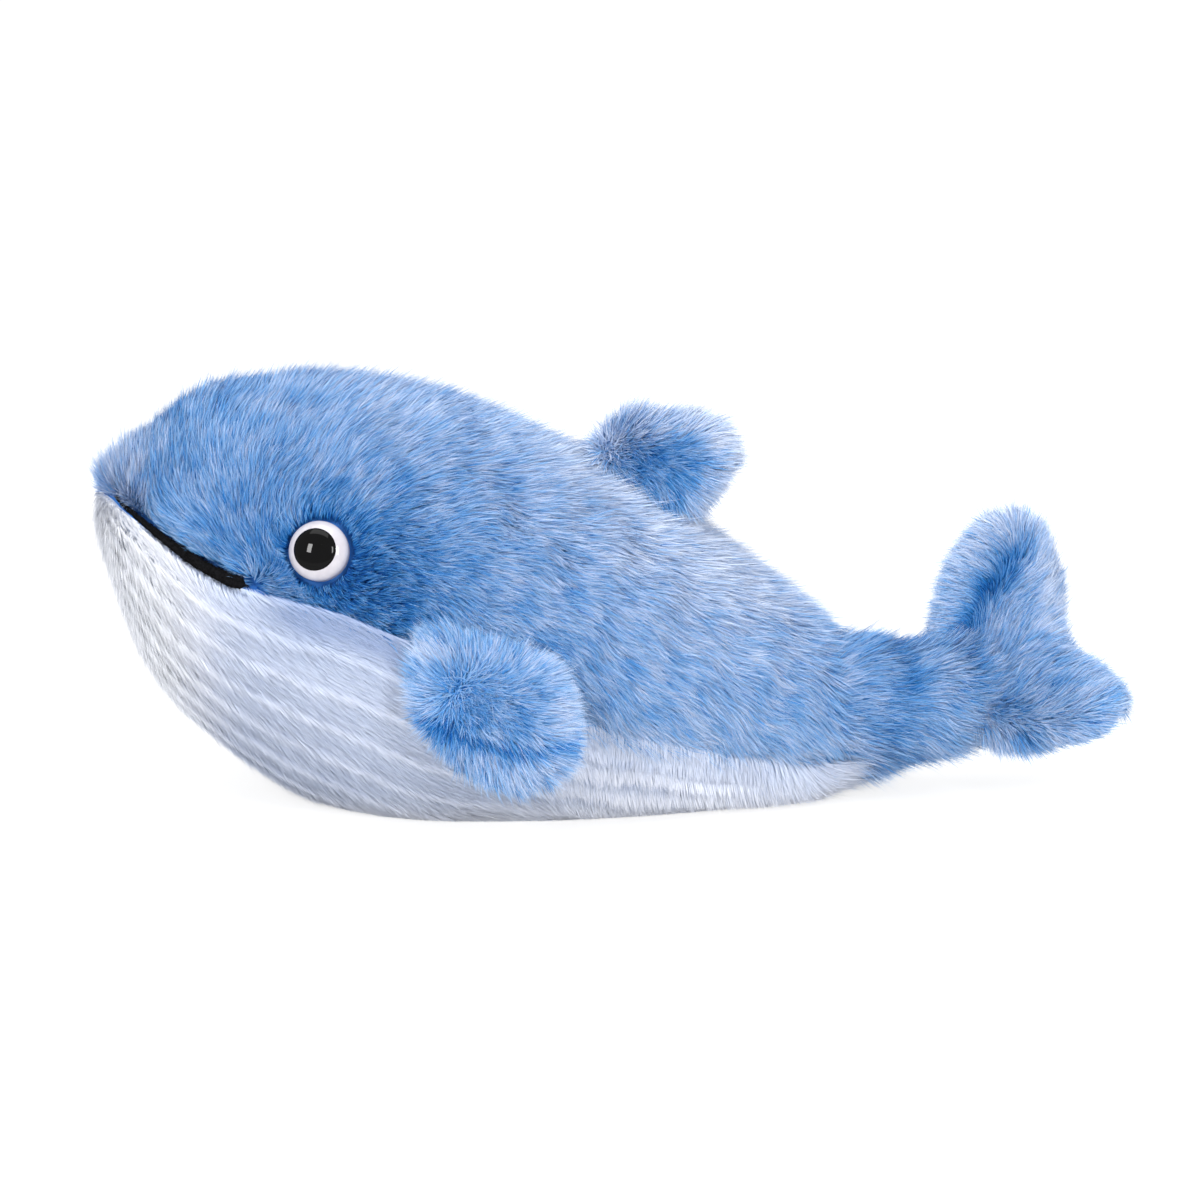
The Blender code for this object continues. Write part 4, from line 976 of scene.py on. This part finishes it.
def all_pile():
    """Every piece of pile, on its body."""
    cuts = 0.01, math.sqrt(0.40), math.sqrt(0.68), 1.0
    for label, side, seed in (("left", 1, 41), ("right", -1, 42)):
        for k, part in enumerate(("front", "middle", "rear")):
            made = back_pile(
                f"back_{label}_{part}_pile", side, cuts[k : k + 2], f"back_{label}_panel", seed + 10 * k
            )
            if part == "rear":
                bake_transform(made)
            else:
                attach(made, "body")
        across = (0, 0.5) if side == 1 else (0.5, 1)
        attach(belly_pile(f"belly_{label}_front_pile", cuts[:2], across, seed + 30), "body")
        made = belly_pile(f"belly_{label}_rear_pile", (cuts[1], 1), across, seed + 40)
        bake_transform(made)
        fin_pile(
            f"flipper_{label}", (22.5, 12.5), (1, 0.6), (0, 0, 1.6),
            (f"flipper_{label}_outer_panel", f"flipper_{label}_inner_panel"), 0.69, 0.03, seed + 50,
        )
    fin_pile(
        "dorsal_fin", (15.0, 9.4), (1, 0.5), (-6.5, -2.5, 5.0),
        ("dorsal_fin_left_panel", "dorsal_fin_right_panel"), 0.57, 0.46, 47,
    )
    stalk_pile(48)
    fluke_pile("fluke_near_pile", (-FLUKE_END, 0), "fluke_lower_panel", False, 49)
    fluke_pile("fluke_far_pile", (0, FLUKE_END), "fluke_upper_panel", True, 50)


def mouth():
    """The yarn along the side seam from one corner of the mouth round the nose to the other: a tube along
    the path, which a moving mean of 13 places smooths, and its short cut fibres."""
    steps = 161
    along = np.linspace(1, -1, steps)
    reach = math.sqrt(MOUTH_CORNER) * along
    apart = np.maximum(np.abs(reach), NOSE_REACH)
    angle = np.where(reach < 0, -1, 1) * body_section(apart)[4]
    point, normal, _ = lie(body_round, apart, angle)
    sink = MOUTH_SINK + 0.8 * MM * (1 - ease((np.abs(reach) - 0.16) / 0.12))
    path = point - sink[:, None] * normal
    weights = bell(np.arange(-6, 7), math.sqrt(12))
    padded = np.concatenate([2 * path[0] - path[6:0:-1], path, 2 * path[-1] - path[-2:-8:-1]])
    path = np.stack([np.convolve(padded[:, k], weights / weights.sum(), "valid") for k in range(3)], axis=1)
    ahead = unit(np.gradient(path, axis=0))
    level = unit(np.cross(ahead, UP))
    up = np.cross(level, ahead)
    ends = np.sqrt(np.clip(1 - np.abs(along) ** 60, 0.02, 1))
    radius = mouth_width(reach) * ends * (1 + 0.06 * ripple(path, 5 * MM, 61))
    turns = round_turns(20)
    spokes = np.cos(turns)[None, :, None] * level[:, None] + np.sin(turns)[None, :, None] * up[:, None]
    yarn = skin("mouth_yarn", path[:, None] + radius[:, None, None] * spokes, YARN)
    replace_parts(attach(yarn, "body"), "mouth_piping")
    random = np.random.default_rng(62)
    count = 9000
    at = random.integers(0, steps, count)
    turn = random.uniform(0, TURN, count)
    out = np.cos(turn)[:, None] * level[at] + np.sin(turn)[:, None] * up[at]
    root = path[at] + 0.8 * radius[at, None] * out + ahead[at] * random.uniform(-1, 1, (count, 1)) * MM
    lean = 0.8 * MM + 0.3 * MM * random.random(count)
    comb = unit(ahead[at] * random.choice([-1, 1], (count, 1)) + 0.3 * out)
    rise = 0.55 * radius[at] * random.uniform(0.5, 1.4, count)
    fuzz = pile(
        "mouth_yarn_fibres", YARN, root, out, comb, rise, lean, np.full(count, 0.5), random,
        tuft=SHORT_TUFT, gather=0.2, width=0.22 * MM,
    )
    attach(fuzz, "body")


def eye(label, side):
    """A safety eye: a white disc with a domed front and a stem, turned round its axis, and a black lens
    laid over the dome a little nearer the nose. The lens is a dome of its own that drops steeply at its
    edge: 1 less a high power of the share of the way out."""
    middle, look = seat(EYE_PLACE, side * EYE_TURN)
    back, edge = -EYE_BACK, EYE_EDGE - EYE_BACK
    tip, bevel, fillet = 0.02 * MM, 0.3 * MM, 0.5 * MM
    foot = back - STEM_LENGTH
    profile = [(tip, foot), (STEM_RADIUS - bevel, foot), (STEM_RADIUS, foot + bevel), (STEM_RADIUS, back)]
    profile += [
        (EYE_RADIUS - fillet + fillet * math.cos(t), back + fillet + fillet * math.sin(t))
        for t in np.linspace(-math.pi / 2, 0, 8)
    ]
    profile += [
        (max(EYE_RADIUS * math.cos(t), tip), edge + EYE_DOME * math.sin(t))
        for t in np.linspace(0, math.pi / 2, 30)
    ]
    white = skin(f"eye_{label}_disc", lathe(middle, look, profile, 72), EYE_WHITE)
    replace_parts(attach(white, "body"), f"eye_{label}_white")
    forward = unit(np.cross(look, UP))
    forward = -np.sign(forward[0]) * forward
    up = np.cross(look, forward)
    up = np.sign(up[2]) * up
    front, behind = 24, 10
    across = np.concatenate([np.linspace(0.02, 1, front), np.linspace(1, 0.02, behind)])[:, None]
    in_front = np.arange(front + behind)[:, None] < front
    turns = round_turns(72)[None, :]
    a = PUPIL_SHIFT + PUPIL_RADIUS * across * np.cos(turns)
    b = PUPIL_RADIUS * across * np.sin(turns)
    dome = EYE_DOME * np.sqrt(1 - (a**2 + b**2) / EYE_RADIUS**2)
    outer, inner = 0.45 * MM * np.sqrt(np.maximum(1 - across**6, 0)), -0.3 * MM * (1 - across**8)
    height = edge + dome + np.where(in_front, outer, inner)
    rings = middle + a[..., None] * forward + b[..., None] * up + height[..., None] * look
    lens = skin(f"eye_{label}_lens", rings, EYE_BLACK)
    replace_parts(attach(lens, "body"), f"eye_{label}_pupil")
    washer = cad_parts[f"eye_{label}_washer"]
    washer.data.materials.clear()
    washer.data.materials.append(WASHER_PLASTIC)


# Stage


def camera():
    """A long lens from the whale's left, a little above it, so that near and far sides keep one scale."""
    aim, distance, lift = np.array([36, 0, 59.5]) * MM, 5.0, math.radians(12)
    lens = bpy.data.cameras.new("camera")
    lens.lens = 500
    lens.clip_end = 50
    holder = bpy.data.objects.new("camera", lens)
    holder.location = aim + distance * np.array([0, -math.cos(lift), math.sin(lift)])
    holder.rotation_euler = (math.pi / 2 - lift, 0, 0)
    bpy.context.scene.collection.objects.link(holder)
    bpy.context.scene.camera = holder


def softbox(name, way, distance, size, power):
    """A rectangular lamp that far along a way from the whale, turned to face it."""
    lamp = bpy.data.lights.new(name, "AREA")
    lamp.shape = "RECTANGLE"
    lamp.size, lamp.size_y = size
    lamp.energy = power
    holder = bpy.data.objects.new(name, lamp)
    way, aim = unit(np.array(way, float)), np.array([30, 0, 60]) * MM
    right = unit(np.cross(UP, way))
    facing = Matrix(np.column_stack([right, np.cross(way, right), way]).tolist()).to_quaternion()
    holder.matrix_world = Matrix.LocRotScale(Vector(aim + distance * way), facing, None)
    bpy.context.scene.collection.objects.link(holder)
    return holder


def seen_white(tree):
    """One for a ray from the camera, a mirror or clear plastic, and 0 for light that falls on the whale."""
    rays = add(tree, "ShaderNodeLightPath")
    pair = {0: rays.outputs["Is Camera Ray"], 1: rays.outputs["Is Glossy Ray"]}
    either = add(tree, "ShaderNodeMath", links=pair, operation="MAXIMUM")
    pair = {0: either.outputs[0], 1: rays.outputs["Is Transmission Ray"]}
    return add(tree, "ShaderNodeMath", links=pair, operation="MAXIMUM").outputs[0]


def floor_and_world():
    """A plain white floor that still takes the whale's shadow, and an even white surrounding. What the
    camera sees of both is white, and what lights the whale is a plain level."""
    material, shader = new_material("matt_white_paper")
    material.node_tree.nodes.remove(shader)
    paper = add(material, "ShaderNodeBsdfDiffuse", {"Color": linear("#E8E8E8")})
    seen = add(material, "ShaderNodeBsdfDiffuse", {"Color": linear("#9A9A9A")})
    glow = add(material, "ShaderNodeEmission", {"Strength": 0.80})
    both = add(material, "ShaderNodeAddShader", links={0: seen.outputs[0], 1: glow.outputs[0]})
    choice = {0: seen_white(material), 1: paper.outputs[0], 2: both.outputs[0]}
    pick = add(material, "ShaderNodeMixShader", links=choice)
    material.node_tree.links.new(pick.outputs[0], material.node_tree.nodes["Material Output"].inputs[0])
    half = 6.0
    points = np.array([(-half, -half, 0), (half, -half, 0), (half, half, 0), (-half, half, 0)])
    put("floor", points, [0, 1, 2, 3], [4], material)
    world = bpy.data.worlds.new("surround")
    world.use_nodes = True
    bpy.context.scene.world = world
    level = {"To Min": 0.72, "To Max": 1.0}
    strength = add(world, "ShaderNodeMapRange", level, {"Value": seen_white(world)})
    background = world.node_tree.nodes["Background"]
    background.inputs["Color"].default_value = (1, 1, 1, 1)
    world.node_tree.links.new(strength.outputs[0], background.inputs["Strength"])


backings()
fillings()
all_pile()
mouth()
eye("left", 1)
eye("right", -1)
camera()
softbox("left_softbox", (-0.51, -0.74, 0.43), 1.1, (0.14, 0.26), 4.2)
softbox("right_softbox", (0.40, -0.86, 0.41), 1.1, (0.14, 0.30), 4.0)
softbox("top_softbox", (-0.1, -0.25, 1.0), 1.3, (1.0, 0.8), 8.5)
softbox("low_softbox", (0.25, -1.0, 0.13), 1.1, (0.5, 0.26), 2.1).visible_glossy = False
floor_and_world()
bpy.context.scene.view_settings.view_transform = "Standard"
